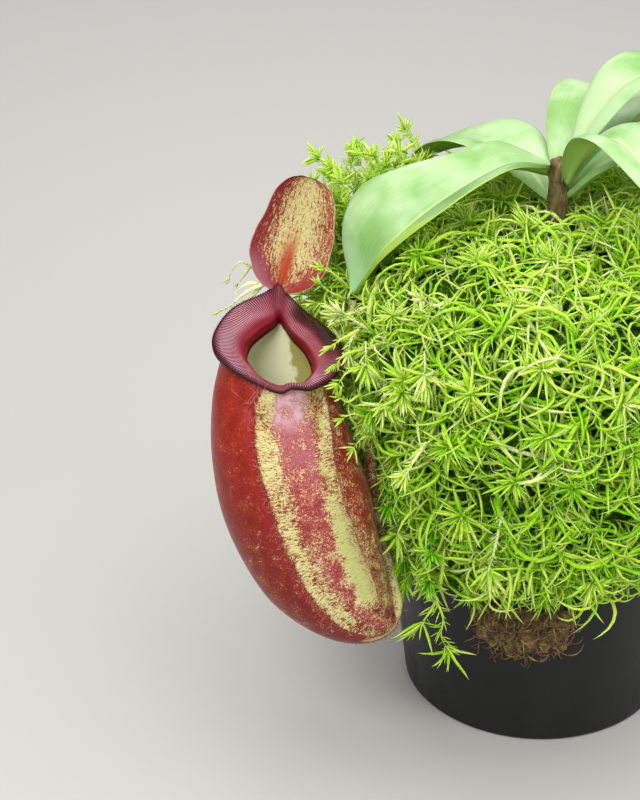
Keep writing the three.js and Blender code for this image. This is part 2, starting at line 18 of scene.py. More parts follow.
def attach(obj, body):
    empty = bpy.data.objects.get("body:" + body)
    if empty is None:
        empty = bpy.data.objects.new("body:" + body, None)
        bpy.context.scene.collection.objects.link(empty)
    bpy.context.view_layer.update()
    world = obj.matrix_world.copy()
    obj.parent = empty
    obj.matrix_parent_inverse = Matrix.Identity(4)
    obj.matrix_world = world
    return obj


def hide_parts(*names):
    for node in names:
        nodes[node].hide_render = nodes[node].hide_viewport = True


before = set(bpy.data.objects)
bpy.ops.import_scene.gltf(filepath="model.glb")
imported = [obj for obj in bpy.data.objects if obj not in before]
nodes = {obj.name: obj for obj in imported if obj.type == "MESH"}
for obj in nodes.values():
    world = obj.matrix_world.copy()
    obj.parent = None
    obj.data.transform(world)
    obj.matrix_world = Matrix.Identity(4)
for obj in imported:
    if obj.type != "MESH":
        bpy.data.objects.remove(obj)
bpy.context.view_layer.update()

# %% [markdown]
# ## The camera
#
# The photographer stood in front of the trap and looked down at it by about 30 degrees. The focal
# length and the distance come from the pot and the trap, whose sizes are known. With the camera made
# first, each render can be laid beside the photograph from the start.

# %% Camera at the photograph's viewing angle
PHOTO_HEIGHT = 800  # the photograph's longer side, in pixels
FOCAL_PIXELS = 2340
SENSOR = 36.0
CAMERA_PLACE = (-0.092308, -0.825884, 0.607985)
CAMERA_TILT = 60  # degrees up from straight down

lens = bpy.data.cameras.new("photo_camera")
lens.sensor_width = SENSOR
lens.lens = SENSOR * FOCAL_PIXELS / PHOTO_HEIGHT
camera = bpy.data.objects.new("photo_camera", lens)
camera.location = CAMERA_PLACE
camera.rotation_euler = (math.radians(CAMERA_TILT), 0, 0)
bpy.context.scene.collection.objects.link(camera)
bpy.context.scene.camera = camera
print("lens:", round(lens.lens, 1), "mm")

# %% [markdown]
# ## Nodes, colours and finishes
#
# A material and a Geometry Nodes tree are both graphs, so one small function adds a node to either.
# Colours are written as they are picked from a screen, and the renderer wants linear light, so one
# function turns them. A finish is one shader with named values.

# %% Colours, nodes and finishes
MM = 0.001  # in metres
PREFIXES = "ShaderNode", "GeometryNode", "FunctionNode", "Node"
EASED = {"interpolation_type": "SMOOTHSTEP"}  # a range that starts and ends softly
TINTED = {"blend_type": "MULTIPLY"}  # a mix that tints its first colour with its second
TIMES = {"operation": "MULTIPLY"}
PLUS_TIMES = {"operation": "MULTIPLY_ADD"}


def linear(hex_colour):
    """The linear light of a screen colour such as #a0c030."""
    value = int(hex_colour.lstrip("#"), 16)
    screen = [(value >> shift & 255) / 255 for shift in (16, 8, 0)]
    return [c / 12.92 if c <= 0.04045 else ((c + 0.055) / 1.055) ** 2.4 for c in screen] + [1.0]


def give(node, sockets):
    """Gives sockets, by name or number, a number, a colour, a node or a node's output."""
    for socket, value in sockets.items():
        socket = node.inputs[socket.replace("_", " ") if isinstance(socket, str) else socket]
        if isinstance(value, bpy.types.Node):
            value = next(output for output in value.outputs if output.enabled)
        if isinstance(value, bpy.types.NodeSocket):
            node.id_data.links.new(value, socket)
        elif value is not None:
            is_colour = isinstance(value, str) and value.startswith("#")
            socket.default_value = linear(value) if is_colour else value


def add(tree, kind, *values, **named):
    """Adds a node. Values go to its sockets in their order, None leaves one as it is, a name with a
    capital is a socket, and any other name is a setting."""
    made = tree.nodes.new(next(p + kind for p in PREFIXES if hasattr(bpy.types, p + kind)))
    if kind == "Mix":
        made.data_type = "RGBA"
    for name, value in named.items():
        if name == "stops":
            ramp = made.color_ramp.elements
            ramp.remove(ramp[1])
            ramp[0].position, ramp[0].color = value[0][0], linear(value[0][1])
            for place, colour in value[1:]:
                ramp.new(place).color = linear(colour)
        elif name[0].islower():
            setattr(made, name, value)
    numbers = [number for number, socket in enumerate(made.inputs) if socket.enabled]
    give(made, dict(zip(numbers, values)))
    give(made, {name: value for name, value in named.items() if name[0].isupper()})
    return made


def finish(name, **values):
    """A new material: itself, its tree and its shader, which has the given values."""
    material = bpy.data.materials.new(name)
    material.use_nodes = True
    tree = material.node_tree
    shader = tree.nodes["Principled BSDF"]
    give(shader, values)
    return material, tree, shader


def grainy(name, scale, detail, rough, stops, relief=None, stretch=None, **values):
    """A material whose colours lie in the grains of one noise, and its relief, a strength and a
    height in mm, too."""
    material, tree, shader = finish(name, **values)
    spot = add(tree, "TexCoord").outputs["Object"]
    if stretch:
        spot = add(tree, "Mapping", Vector=spot, Scale=stretch)
    grains = add(tree, "TexNoise", Vector=spot, Scale=scale, Detail=detail, Roughness=rough)
    give(shader, {"Base Color": add(tree, "ValToRGB", grains, stops=stops)})
    if relief:
        strength, height = relief
        bump = add(tree, "Bump", Strength=strength, Distance=height * MM, Height=grains)
        give(shader, {"Normal": bump})
    return material


print("nodes:", *(p + "..." for p in PREFIXES))

# %% [markdown]
# ## Shapes through rows of points
#
# Most parts of a plant are skins stretched over a few ribs, so most pieces here are rows of points
# joined to a closed skin. The solid model uses the same curves, and its numbers are repeated here,
# which puts each piece exactly where its solid is.

# %% Curves and measures
def unit(vectors):
    """Vectors of length 1."""
    return vectors / (np.linalg.norm(vectors, axis=-1, keepdims=True) + 1e-12)


def step(low, high, value):
    """0 below low, 1 above high and smooth between."""
    t = np.clip((np.asarray(value, float) - low) / (high - low), 0, 1)
    return t * t * (3 - 2 * t)


def bell(offset, width):
    """1 where the offset is 0, and falling to both sides over a width."""
    return np.exp(-((offset / width) ** 2))


def lengths(points):
    """The length along a line of points, up to each of them."""
    return np.concatenate([[0], np.cumsum(np.linalg.norm(np.diff(points, axis=0), axis=1))])


def curve(points, closed=False):
    """A smooth curve through points, or through rows of them, as a function of a place from 0 to 1."""
    p = np.array(points, float)
    padded = [p[-1:], p, p[:2]] if closed else [[2 * p[0] - p[1]], p, [2 * p[-1] - p[-2]]]
    padded = np.concatenate(padded)
    spans = len(padded) - 3

    def at(place):
        s = np.atleast_1d(np.asarray(place, float))
        s = (s % 1 if closed else np.clip(s, 0, 1)) * spans
        k = np.minimum(s.astype(int), spans - 1)
        f = (s - k).reshape([-1] + [1] * (p.ndim - 1))
        a, b, c, d = (padded[k + i] for i in range(4))
        ab, bc, cd = (
            np.sqrt(np.linalg.norm(far - near, axis=-1, keepdims=True)) + 1e-9
            for near, far in ((a, b), (b, c), (c, d))
        )
        leaving = ((b - a) / ab - (c - a) / (ab + bc) + (c - b) / bc) * bc
        reaching = ((c - b) / bc - (d - b) / (bc + cd) + (d - c) / cd) * bc
        return (
            ((2 * f - 3) * f * f + 1) * b + ((f - 2) * f + 1) * f * leaving
            + (3 - 2 * f) * f * f * c + (f - 1) * f * f * reaching
        )

    return at


def normals_of(grid):
    """The direction that each point of a grid faces, whose rows are rings."""
    return unit(np.cross(np.gradient(grid, axis=0), np.roll(grid, -1, 1) - np.roll(grid, 1, 1)))


print("the middle of a curve through three points:", curve([[0, 0], [4, 3], [8, 0]])(0.5)[0])


# %% Skins and pieces
def grid_faces(count, around, joined):
    """Corners of the faces between rings of points, and the row and column of each face."""
    i, k = np.meshgrid(np.arange(count if joined else count - 1), np.arange(around), indexing="ij")
    i, k = i.ravel(), k.ravel()
    up, on = (i + 1) % count, (k + 1) % around
    corners = (i * around + k, i * around + on, up * around + on, up * around + k)
    return np.stack(corners, 1), i, k


def skin(name, rows, joined=False, marks=None):
    """A closed skin through rows of points in mm: each row is a ring, and the rows are joined in a
    ring too or the two ends are closed. marks are values at the points, which a material can read."""
    rows = np.asarray(rows, float)
    count, around = rows.shape[:2]
    points = rows.reshape(-1, 3)
    faces, i, k = grid_faces(count, around, joined)
    round_map = np.stack([k, k + 1, k + 1, k], 1) / around
    along_map = np.stack([i, i, i + 1, i + 1], 1) / max(count - 1, 1)
    a, b, c, d = (points[faces[:, j]] for j in range(4))
    turned = np.einsum("ij,ij->i", a, np.cross(b, c) + np.cross(c, d)).sum() < 0
    if turned:
        faces, round_map, along_map = faces[:, ::-1], round_map[:, ::-1], along_map[:, ::-1]
    faces = faces.tolist()
    corners = np.stack([round_map.ravel(), along_map.ravel()], 1)
    if not joined:
        fans = []
        for end, row in ((0.0, 0), (1.0, count - 1)):
            hub = len(points)
            points = np.vstack([points, rows[row].mean(0)])
            for j in range(around):
                rim = [row * around + j, row * around + (j + 1) % around]
                sides = [j / around, (j + 1) / around]
                if (row == 0) != turned:
                    rim, sides = rim[::-1], sides[::-1]
                faces.append([hub, *rim])
                fans += [[(j + 0.5) / around, end]] + [[side, end] for side in sides]
        corners = np.vstack([corners, fans])
    mesh = bpy.data.meshes.new(name)
    mesh.from_pydata((points * MM).tolist(), [], faces)
    mesh.uv_layers.new(name="skin").data.foreach_set("uv", corners.astype(np.float32).ravel())
    for mark, values in (marks or {}).items():
        values = np.asarray(values, float).reshape(count, around)
        flat = values.ravel()
        if not joined:
            flat = np.concatenate([flat, [values[0].mean(), values[-1].mean()]])
        mark_points(mesh, mark, flat)
    mesh.shade_smooth()
    mesh.update()
    return mesh


def mark_points(mesh, mark, values):
    """Stores a value at each point of a mesh."""
    stored = mesh.attributes.get(mark) or mesh.attributes.new(mark, "FLOAT", "POINT")
    stored.data.foreach_set("value", np.asarray(values, np.float32))


def points_of(mesh):
    """A mesh's points in metres."""
    points = np.empty(len(mesh.vertices) * 3, np.float32)
    mesh.vertices.foreach_get("co", points)
    return points.reshape(-1, 3)


def place(name, mesh, material, slot, *stands_for):
    """Puts a finished mesh in the scene as a piece that stands for parts of the solid model."""
    mesh.name = name
    mesh.materials.clear()
    mesh.materials.append(material)
    piece = bpy.data.objects.new(name, mesh)
    bpy.context.scene.collection.objects.link(piece)
    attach(piece, "root")
    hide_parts(*stands_for)
    print(f"{name}: {sum(len(p.vertices) - 2 for p in mesh.polygons)} triangles, {slot}")

# %% [markdown]
# ## The trap's frame
#
# The trap hangs beside the pot and leans back onto the moss. Its own drawing is upright, with x to
# the right and z up, and one function turns drawn points to their place.

# %% From the trap's drawing to its place
TRAP_PLACE = np.array([-100.0, -58.0, 138.0])
TRAP_LEAN = math.radians(14)


def from_trap(points):
    """Points of the trap's upright drawing, where they are on the plant."""
    p = np.asarray(points, float)
    x, y, z = p[..., 0], p[..., 1], p[..., 2]
    cos, sin = math.cos(TRAP_LEAN), math.sin(TRAP_LEAN)
    return np.stack([x, y * cos + z * sin, z * cos - y * sin], -1) + TRAP_PLACE


# %% [markdown]
# ## The collar
#
# The lip of a pitcher plant's trap is a hard, wet and glossy collar that curls round the mouth. Fine
# ribs run across it from the inner edge to the outer one, about 0.7 to 0.85 mm apart, and insects slip
# on them. Bump alone would leave the edges smooth, but the real ribs end as teeth that show there, so
# the ribs are real geometry: a fine skin whose height follows them.

# %% The collar's two edges and its arched surface
LIP_INNER = [
    [-6.5, -16.8, 33.6], [-12.5, -15.8, 34.6], [-17.4, -11.6, 38], [-19.6, -5.5, 41.8],
    [-18.4, 0.3, 45], [-13.6, 6.4, 48.2], [-9.5, 10.8, 50], [-7.9, 12, 51.4], [-6.3, 10.4, 49.6],
    [-3, 6.2, 46.2], [1.7, 0.6, 42.6], [4.2, -5.5, 38.3], [3.6, -11.2, 35.4], [0, -15.4, 33.4],
    [-3.2, -16.4, 34.3],
]
LIP_OUTER = [
    [-7, -20.4, 33.2], [-16, -19, 36.6], [-25.5, -14.5, 41], [-32, -6.5, 45.8],
    [-32.3, 1, 50.5], [-25.5, 11, 57.8], [-13, 17, 62.6], [-8.2, 18.2, 66.2], [-4.4, 16.6, 61.6],
    [1.8, 13, 56.2], [9.8, 8.8, 51.3], [16, 0, 45.5], [14.5, -10, 39], [4.5, -18.6, 34.2],
    [-3, -20, 34.7],
]
LIP_ARCH = 0.19  # of the collar's width
LIP_THICKNESS = 1.3
LIP_WIDTH = 12  # where it is rolled in fully; it rolls in less where it is narrower
lip_inner, lip_outer = curve(LIP_INNER, closed=True), curve(LIP_OUTER, closed=True)


def lip_frame(turn):
    """The collar's inner and outer edge, and the direction off its surface, at places round it. A
    turn goes round the mouth from the front by the left."""
    inner, outer = lip_inner(turn), lip_outer(turn)
    ahead, behind = turn + 1e-4, turn - 1e-4
    tangent = (lip_inner(ahead) - lip_inner(behind)) + (lip_outer(ahead) - lip_outer(behind))
    return inner, outer, unit(np.cross(unit(tangent), outer - inner))


def lip_arch(share):
    """How high the collar arches at a share of its width: the crest is nearer to the inner edge."""
    return LIP_ARCH * np.sin(np.pi * np.clip(share, 0, 1) ** 0.72)


def lip_surface(turn, share, lift):
    """The collar's surface at a turn and at a share of its width from the inner edge, lifted by a
    height. There is one row of points for each share."""
    inner, outer, up = lip_frame(turn)
    share = np.asarray(share, float).reshape(-1, 1)
    width = np.linalg.norm(outer - inner, axis=1)[None]
    height = lip_arch(share) * width + lift
    return inner[None] + (outer - inner)[None] * share[..., None] + up[None] * height[..., None]


print("collar's edges in mm:", [lengths(edge(np.linspace(0, 1, 200)))[-1].round(1)
                                for edge in (lip_inner, lip_outer)])

# %% Ribs at equal steps round the collar
LIP_RIBS = 168
POINTS_A_RIB = 8
RIB_HEIGHT = 0.24
RIBBED = [  # place round the collar, and how ribbed it is there
    (0, 0.12), (0.06, 0.4), (0.12, 0.95), (0.34, 1), (0.41, 0.15), (0.52, 0.12), (0.57, 0.95),
    (0.7, 0.35), (0.76, 0.45), (0.83, 1), (0.91, 0.8), (0.96, 0.2), (1, 0.12),
]
TOP_SHARES = [[0, 0.02, 0.05, 0.09], np.linspace(0.14, 0.84, 13), [0.89, 0.93, 0.965, 0.985, 1]]
UNDER_SHARES = [0.985, 0.94, 0.8, 0.6, 0.4, 0.2, 0.07, 0.02]

spots = np.linspace(0, 1, 1201)
length = lengths((lip_inner(spots) + lip_outer(spots)) / 2)
lip_columns = LIP_RIBS * POINTS_A_RIB
turns = np.interp(np.arange(lip_columns) / lip_columns * length[-1], length, spots)
wave = 0.5 + 0.5 * np.cos(2 * np.pi * LIP_RIBS * np.arange(lip_columns) / lip_columns)
ribbed = np.interp(turns % 1, *zip(*RIBBED))[None]
on_right = step(0.54, 0.6, turns % 1) * (1 - step(0.72, 0.8, turns % 1))
print("rib spacing in mm:", round(length[-1] / LIP_RIBS, 2))

# %% The collar's skin: its top and its underside, both rolled in at the edges
top, under = np.concatenate(TOP_SHARES), np.array(UNDER_SHARES)
fade = (step(0, 0.06, top) * (1 - 0.35 * step(0.9, 1, top)))[:, None]
wide = np.linalg.norm(lip_outer(turns) - lip_inner(turns), axis=1)[None] / LIP_WIDTH
rolled = np.clip(wide, 0.35, 1)
inner_roll = (-2.0 * (1 - step(0, 0.14, top)) ** 1.5)[:, None] * rolled
outer_roll = (-1.5 * step(0.86, 1, top) ** 1.5)[:, None] * rolled
teeth = wave[None] * np.clip(wide - 0.3, 0, 1) * (
    0.4 * step(0.93, 1, top)[:, None] - 0.4 * (1 - step(0, 0.06, top))[:, None])
ribs = RIB_HEIGHT * fade * wave[None] * (0.35 + 0.65 * ribbed * step(0.15, 0.45, top)[:, None])
upper = lip_surface(turns, top, LIP_THICKNESS / 2 + inner_roll + outer_roll + ribs)
upper += unit(lip_outer(turns) - lip_inner(turns))[None] * teeth[..., None]
under_roll = (-1.7 * (1 - step(0, 0.2, under)) - 1.4 * step(0.8, 1, under))[:, None] * rolled
lower = lip_surface(turns, under, -LIP_THICKNESS / 2 + under_roll)
rows_of_lip = from_trap(np.concatenate([upper, lower]))
shares = np.concatenate([top, under])[:, None] + 0 * wave[None]
ribbed_left = step(0.22, 0.5, shares) * (1 - on_right)
ribbed_right = step(0.1, 0.25, shares) * on_right
lip_mesh = skin("trap_lip_ribbed", rows_of_lip, joined=True, marks={
    "rib": np.concatenate([fade * wave[None], 0 * lower[..., 0]]),
    "share": shares,
    "ribbed": ribbed * (ribbed_left + ribbed_right) * (1 - on_right * step(0.42, 0.55, shares)),
    # painted shade: near black on the right lobe's outer part, which faces away, and a little at the
    # neck
    "flange": on_right * step(0.42, 0.62, shares) + 0.3 * bell(turns % 1 - 0.465, 0.05)})
print("collar rows and columns:", rows_of_lip.shape[:2])

# %% [markdown]
# Wet plant wax over a burgundy skin: a dark body colour and a low roughness. Painted shade darkens
# the grooves, and thin painted highlights in pale pink line the rib crests. The inner edge is redder,
# and painted shade turns the right lobe's outer part, which faces away, to a near black, and dims the
# neck a little.

# %% Glossy burgundy skin of the collar
lip_wax, tree, shader = finish(
    "glossy_burgundy_collar_skin", Roughness=0.3, IOR=1.42, Specular_IOR_Level=0.35,
    Coat_Weight=0.06, Coat_Roughness=0.25)
spot = add(tree, "TexCoord").outputs["Object"]
share, rib, flange, ribbed = (
    add(tree, "Attribute", attribute_name=mark).outputs["Fac"]
    for mark in ("share", "rib", "flange", "ribbed"))
across = add(tree, "ValToRGB", share, stops=[
    (0.0, "#5c0814"), (0.1, "#800c18"), (0.32, "#8a142c"), (0.6, "#7c0f26"), (1.0, "#5a0c24")])
# painted shade in the grooves and painted highlights on the rib crests, where the collar is ribbed
groove_shade = add(tree, "MapRange", rib, 0.0, 0.8, 0.9, 0.0)
ridge_highlight = add(tree, "MapRange", rib, 0.68, 0.97, 0.0, 1.0, **EASED)
colour = add(tree, "Mix", add(tree, "Math", groove_shade, ribbed, **TIMES), across, "#642638", **TINTED)
colour = add(tree, "Mix", add(tree, "Math", ridge_highlight, ribbed, **TIMES), colour, "#e8a6b6")
# painted shade over the right lobe's outer part and the neck
colour = add(tree, "Mix", flange, colour, "#7c2032", **TINTED)
mottle = add(tree, "TexNoise", Vector=spot, Scale=90.0, Detail=3.0)
mottled = add(tree, "MapRange", mottle, 0.35, 0.7, 0.0, 0.4)
give(shader, {"Base Color": add(tree, "Mix", mottled, colour, "#9a4858", **TINTED)})
place("trap_lip_ribbed", lip_mesh, lip_wax, "trap_lip", "trap_lip")

# %% [markdown]
# ## The cup
#
# The trap's body is a curved bag. Two ridges run down its front, from the collar almost to the tip,
# and between them the front is flatter. The solid model gives its two sides and its roundness, so the
# cup is a skin through rings from the collar's underside to the tip, and the same skin turns in at the
# edge for the hollow inside.

# %% The cup's sides, from the shoulder to the tip
CUP_LEFT = [
    [-30.6, 37], [-32.9, 28], [-34, 17], [-34.1, 6], [-33.4, -3], [-31.8, -14], [-28.6, -26],
    [-22.2, -40.5], [-12.7, -55.6], [-1, -66], [11, -72.6], [22, -75], [30.8, -73.6], [37.2, -69],
    [39.9, -61],
]
CUP_RIGHT = [
    [11.2, 29.5], [14.6, 22], [18.2, 14.2], [21.2, 5.2], [23.8, -2.6], [26.2, -10], [28.4, -19],
    [29.9, -28], [31.8, -36.5], [33.6, -45], [35.2, -52], [36, -56.5], [36.4, -59], [36.4, -60.3],
    [36.6, -60.6],
]
CUP_TILT = [0.52, 0.4, 0.28, 0.16, 0.08, 0.03] + [0] * 9
CUP_ROUNDNESS = 0.88  # its depth for a width of 1
CUP_WALL = 1.5
RIM_SHARE = 0.34  # where the cup meets the collar's underside
GAP = 0.3  # between pieces that touch
CUP_STATIONS = 29  # rings that the cup's curve goes through
CUP_LEAD = 0.09  # the stretch above the shoulder, in the same measure as the places below it
cup_left, cup_right = (curve([(x, 0, z) for x, z in side]) for side in (CUP_LEFT, CUP_RIGHT))


def cup_ring(along, angle, grow):
    """Rings of the cup: along goes from 0 at the shoulder to 1 at the tip, and angle from the
    front by the left, in degrees. grow widens the cup all round."""
    angle = np.radians(angle)
    left, right = cup_left(along), cup_right(along)
    wide = np.linalg.norm(right - left, axis=1)[:, None]
    out = -np.sin(angle)[None] * (wide / 2 + grow)
    back = -np.cos(angle)[None] * (wide / 2 * CUP_ROUNDNESS + grow)
    ring = ((left + right) / 2)[:, None] + unit(right - left)[:, None] * out[..., None]
    tilt = np.interp(along * (len(CUP_TILT) - 1), range(len(CUP_TILT)), CUP_TILT)[:, None]
    ring[..., 1] += back
    ring[..., 2] += tilt * back
    return ring


def cup_rows(angle, grow, last, count):
    """Rows of the cup from its edge under the collar down to a place, and that place for each row."""
    inner, outer, up = lip_frame((angle / 360) % 1)
    wide = np.linalg.norm(outer - inner, axis=1)
    share = (RIM_SHARE + grow / wide)[:, None]
    arch = lip_arch(share) * wide[:, None]
    edge = inner + (outer - inner) * share + up * (arch - LIP_THICKNESS / 2 - GAP)
    places = np.linspace(0, 1, CUP_STATIONS)
    rings = cup_ring(places, angle, grow)
    shoulder = edge + (rings[0] - edge) * np.array([0.66, 0.66, 0.42])
    stations = np.concatenate([[-CUP_LEAD, -CUP_LEAD / 2], places])
    through = curve(np.concatenate([[edge, shoulder], rings]))
    wanted = np.linspace(-CUP_LEAD, last, count)
    return through(np.interp(wanted, stations, np.linspace(0, 1, len(stations)))), wanted


print("cup's length in mm:", round(lengths((cup_left(spots) + cup_right(spots)) / 2)[-1], 1))

# %% [markdown]
# The photograph shows where the ridges and the pale stripes beside them run. Seen from above the cup,
# each is an angle round it that changes slowly on the way down, so four short tables hold them.

# %% Where the ridges and stripes run, and the cup's skin with its hollow
RIDGE_DOWN = [-0.09, 0, 0.03, 0.09, 0.15, 0.21, 0.29, 0.34, 0.42, 0.5, 0.56, 0.62, 0.68, 1]
LEFT_RIDGE = [19, 18, 17, 17.5, 17, 16, 14.5, 13.5, 12.5, 11.5, 11.5, 12, 16, 20]
LEFT_STRIPE = [2, 1.5, 1, 1, 2, 1.5, -0.5, -1, 0.5, -1.5, -3, -3.5, -4, -4]
RIGHT_STRIPE = [-44, -42, -39, -36, -33, -30.5, -28.5, -26.5, -27, -27.5, -27, -26, -24.5, -20]
RIGHT_RIDGE = [-68, -64, -60, -53, -46, -43, -40.5, -39, -41, -43, -45, -45, -40, -34]
CUP_COLUMNS, CUP_ROWS_OUTSIDE, CUP_ROWS_INSIDE = 240, 150, 44

angles = (np.arange(CUP_COLUMNS) + 0.5) * 360 / CUP_COLUMNS - 180
outside, down = cup_rows(angles, 0.0, 1.0, CUP_ROWS_OUTSIDE)
inside, _ = cup_rows(angles, -CUP_WALL, 0.75, CUP_ROWS_INSIDE)
facing = normals_of(outside)
facing *= np.sign((facing * (outside - outside.mean(1, keepdims=True))).sum(-1, keepdims=True).mean())
left_ridge, left_stripe, right_stripe, right_ridge = (
    np.interp(down, RIDGE_DOWN, table)[:, None]
    for table in (LEFT_RIDGE, LEFT_STRIPE, RIGHT_STRIPE, RIGHT_RIDGE))
angle = angles[None] + 0 * down[:, None]
down = down[:, None] + 0 * angles[None]
ridge_fade = step(-0.06, 0.03, down) * (1 - step(0.6, 0.78, down))
between = step(0, 10, left_ridge - angle) * step(0, 10, angle - right_ridge)
relief = ridge_fade * (
    1.3 * bell(angle - left_ridge, 2.2) + 1.9 * bell(angle - right_ridge, 2.6) - 0.9 * between)
outside = outside + facing * relief[..., None]
print("cup rows and columns:", outside.shape[:2])

# %% [markdown]
# The skin's colours lie in zones: a red left side, two pale stripes, a pink front between them, and a
# mottled right side. Each zone is a share of yellow flecks, which is marked on the points. The
# material then breaks the zones up into flecks, so that no zone has a clean edge.

# %% Zones of the cup's skin
in_left = step(-2.6, 2.6, left_ridge - angle) * step(-7, 5, angle - left_stripe)
in_right = step(-5, 5, right_stripe - angle) * step(-8, 3, angle - right_ridge)
stripe_end = in_right * step(0.64, 0.7, down)
in_right = in_right - stripe_end
panel = step(-5, 7, left_stripe - angle) * step(-5, 5, angle - right_stripe)
left_side = step(-2.2, 2.2, angle - left_ridge)
right_side = step(-3, 8, right_ridge - angle)
lower = step(0.25, 0.62, down)
foot = step(0.62, 0.8, down)
clean_half = step(-6, 2, (right_stripe + right_ridge) / 2 - angle)
edge_half = step(0, 9, angle - left_ridge + 9)
pale_rim = bell(angle - 36, 11) * step(0.74, 0.88, down)
olive = right_side * step(0.5, 0.64, down) * (1 - step(0.72, 0.85, down))
fleck = (
    (0.6 + 0.14 * edge_half - 0.08 * step(0.05, 0.3, down)) * in_left
    + (0.42 + 0.12 * clean_half + 0.4 * lower) * in_right
    + (0.27 + 0.08 * lower) * panel + 0.42 * stripe_end
    + (0.04 + 0.12 * lower) * left_side + (0.27 + 0.04 * lower) * right_side)
fleck = (fleck * (1 - 0.35 * foot) + 0.05 * foot + 0.8 * pale_rim + 0.1 * olive
         - 0.1 * right_side * step(0.76, 0.9, down))
hairy = (bell(angle - left_ridge + 4, 5) + 0.6 * bell(angle - left_stripe, 4)
         + 0.7 * bell(angle - right_ridge, 5) + 0.5 * bell(angle - right_stripe, 5))
print("share of flecks, least and most:", fleck.min().round(2), fleck.max().round(2))

# %% Where bristles grow, and all marks of the cup's skin
bristly = ((0.8 * bell(angle - left_ridge, 1.6) + bell(angle - right_ridge, 2))
           * step(0, 0.06, down) * (1 - step(0.6, 0.78, down))
           + 0.25 * step(0.75, 0.95, down) * (1 - step(100, 130, np.abs(angle))))
long_bristly = ((bell(angle - left_ridge, 6) + 0.6 * bell(angle - right_ridge, 6))
                * step(-0.08, -0.05, down) * (1 - step(0.01, 0.05, down)))
lining = np.ones_like(inside[..., 0])
marks = {name: np.concatenate([values[::-1], 0 * lining]) for name, values in {
    "fleck": fleck, "hairy": hairy, "down": down, "bristly": bristly, "long_bristly": long_bristly,
    "blush": 0.9 * panel + 0.15 * right_side + 0.25 * in_left + 0.2 * in_right,
    # where a painted highlight lies: patches at the top of the front panel, under the collar
    "sheen": panel * (1 - step(-0.02, 0.08, down)) + 0.25 * panel * (1 - step(0.1, 0.35, down)),
    "bright": left_side * bell(angle - left_ridge - 5, 5),
    "green": in_right * (0.5 + 0.25 * lower) + 0.5 * pale_rim + 0.8 * olive,
}.items()}
marks["hollow"] = np.concatenate([0 * fleck, lining])
marks["rightness"] = np.concatenate([0 * fleck, -np.sin(np.radians(angles))[None] + 0 * lining])
cup_mesh = skin("trap_cup_skin", from_trap(np.concatenate([outside[::-1], inside])), marks=marks)
print("marks:", *marks)

# %% [markdown]
# The skin is a thin living wax over red and yellow pigment cells. The pigment lies in worm-like flecks
# about half a millimetre wide, and next to the ridges they are drawn out into hairlines that cross the
# stripe. Two noises make them: an even one for the flecks and a stretched one for the hairlines.

# %% Speckled skin of the cup: where it is yellow
cup_skin, tree, shader = finish(
    "speckled_pitcher_skin", Roughness=0.38, IOR=1.42, Specular_IOR_Level=0.3,
    Sheen_Weight=0.12, Sheen_Roughness=0.35, Sheen_Tint="#ffd0b8")
where = add(tree, "TexCoord")
spot = where.outputs["Object"]
fleck, blush, sheen, bright, hollow, hairy, down, green, right = (
    add(tree, "Attribute", attribute_name=mark).outputs["Fac"]
    for mark in ("fleck", "blush", "sheen", "bright", "hollow", "hairy", "down", "green", "rightness"))
worms = add(tree, "TexNoise", Vector=spot, Scale=1350.0, Detail=2.0, Roughness=0.6, Distortion=1.4)
patches = add(tree, "TexNoise", Vector=spot, Scale=170.0, Detail=3.0, Roughness=0.6)
stretched = add(tree, "Mapping", Vector=where.outputs["UV"], Scale=(46.0, 230.0, 1.0),
                Rotation=(0, 0, 0.12))
hairs = add(tree, "TexNoise", Vector=stretched, Scale=1.6, Detail=2.0, Roughness=0.55)
fine = add(tree, "Math", worms, 0.62, add(tree, "Math", patches, 0.38, **TIMES), **PLUS_TIMES)
hair_share = add(tree, "Math", hairy, 0.75, 0.12, **PLUS_TIMES)
off_middle = add(tree, "Math", hairs, 0.5, operation="SUBTRACT")
with_hairs = add(tree, "Math", off_middle, hair_share, fine, **PLUS_TIMES)
spread = add(tree, "MapRange", fleck, 0.0, 1.0, 0.33, 0.72)
over = add(tree, "Math", spread, with_hairs, operation="SUBTRACT")
yellow_share = add(tree, "MapRange", over, -0.03, 0.05)
print(cup_skin.name, "has so far", len(tree.nodes), "nodes")

# %% Speckled skin of the cup: reds, yellows, a painted highlight, and its wax inside with painted shade
red = add(tree, "Mix", blush, add(tree, "Mix", down, "#a52f20", "#70160f"), "#ae4a50")
red = add(tree, "Mix", add(tree, "MapRange", fine, 0.43, 0.58, 0.0, 0.6), red, "#a85858", **TINTED)
red = add(tree, "Mix", add(tree, "Math", bright, 0.6, **TIMES), red, "#9c2428")
yellow = add(tree, "Mix", green, add(tree, "Mix", patches, "#dcd29a", "#c4bc72"), "#b4b870")
lined = add(tree, "MapRange", hairs, 0.48, 0.66, 0.0, 0.4)
yellow = add(tree, "Mix", lined, yellow, "#b0c070", **TINTED)
colour = add(tree, "Mix", yellow_share, red, yellow)
# a painted highlight: pale pink patches at the top of the front panel
painted_highlight_patches = add(tree, "Math", sheen, add(tree, "MapRange", patches, 0.4, 0.62, 0.15, 0.85), **TIMES)
colour = add(tree, "Mix", painted_highlight_patches, colour, "#cfa6ae")
# The wax inside: pale, pushed near white as painted light for the glow through the wall, and a darker
# olive on its right side as painted shade, along a wavy line.
shaded_side = add(tree, "Math", patches, 0.35, right, **PLUS_TIMES)
wax = add(tree, "Mix", add(tree, "MapRange", shaded_side, 0.43, 0.5, **EASED), "#ffffd8", "#bcb468")
give(shader, {"Base Color": add(tree, "Mix", hollow, colour, wax),
              "Normal": add(tree, "Bump", Strength=0.12, Distance=0.0004, Height=worms)})
place("trap_cup_skin", cup_mesh, cup_skin, "trap_skin", "trap_cup")

# %% [markdown]
# ## The lid
#
# The lid stands behind the mouth and turns its underside to the viewer: an oval sheet with a notch at
# its base, red along its margins and yellow green in the middle, with a keel up from the base.

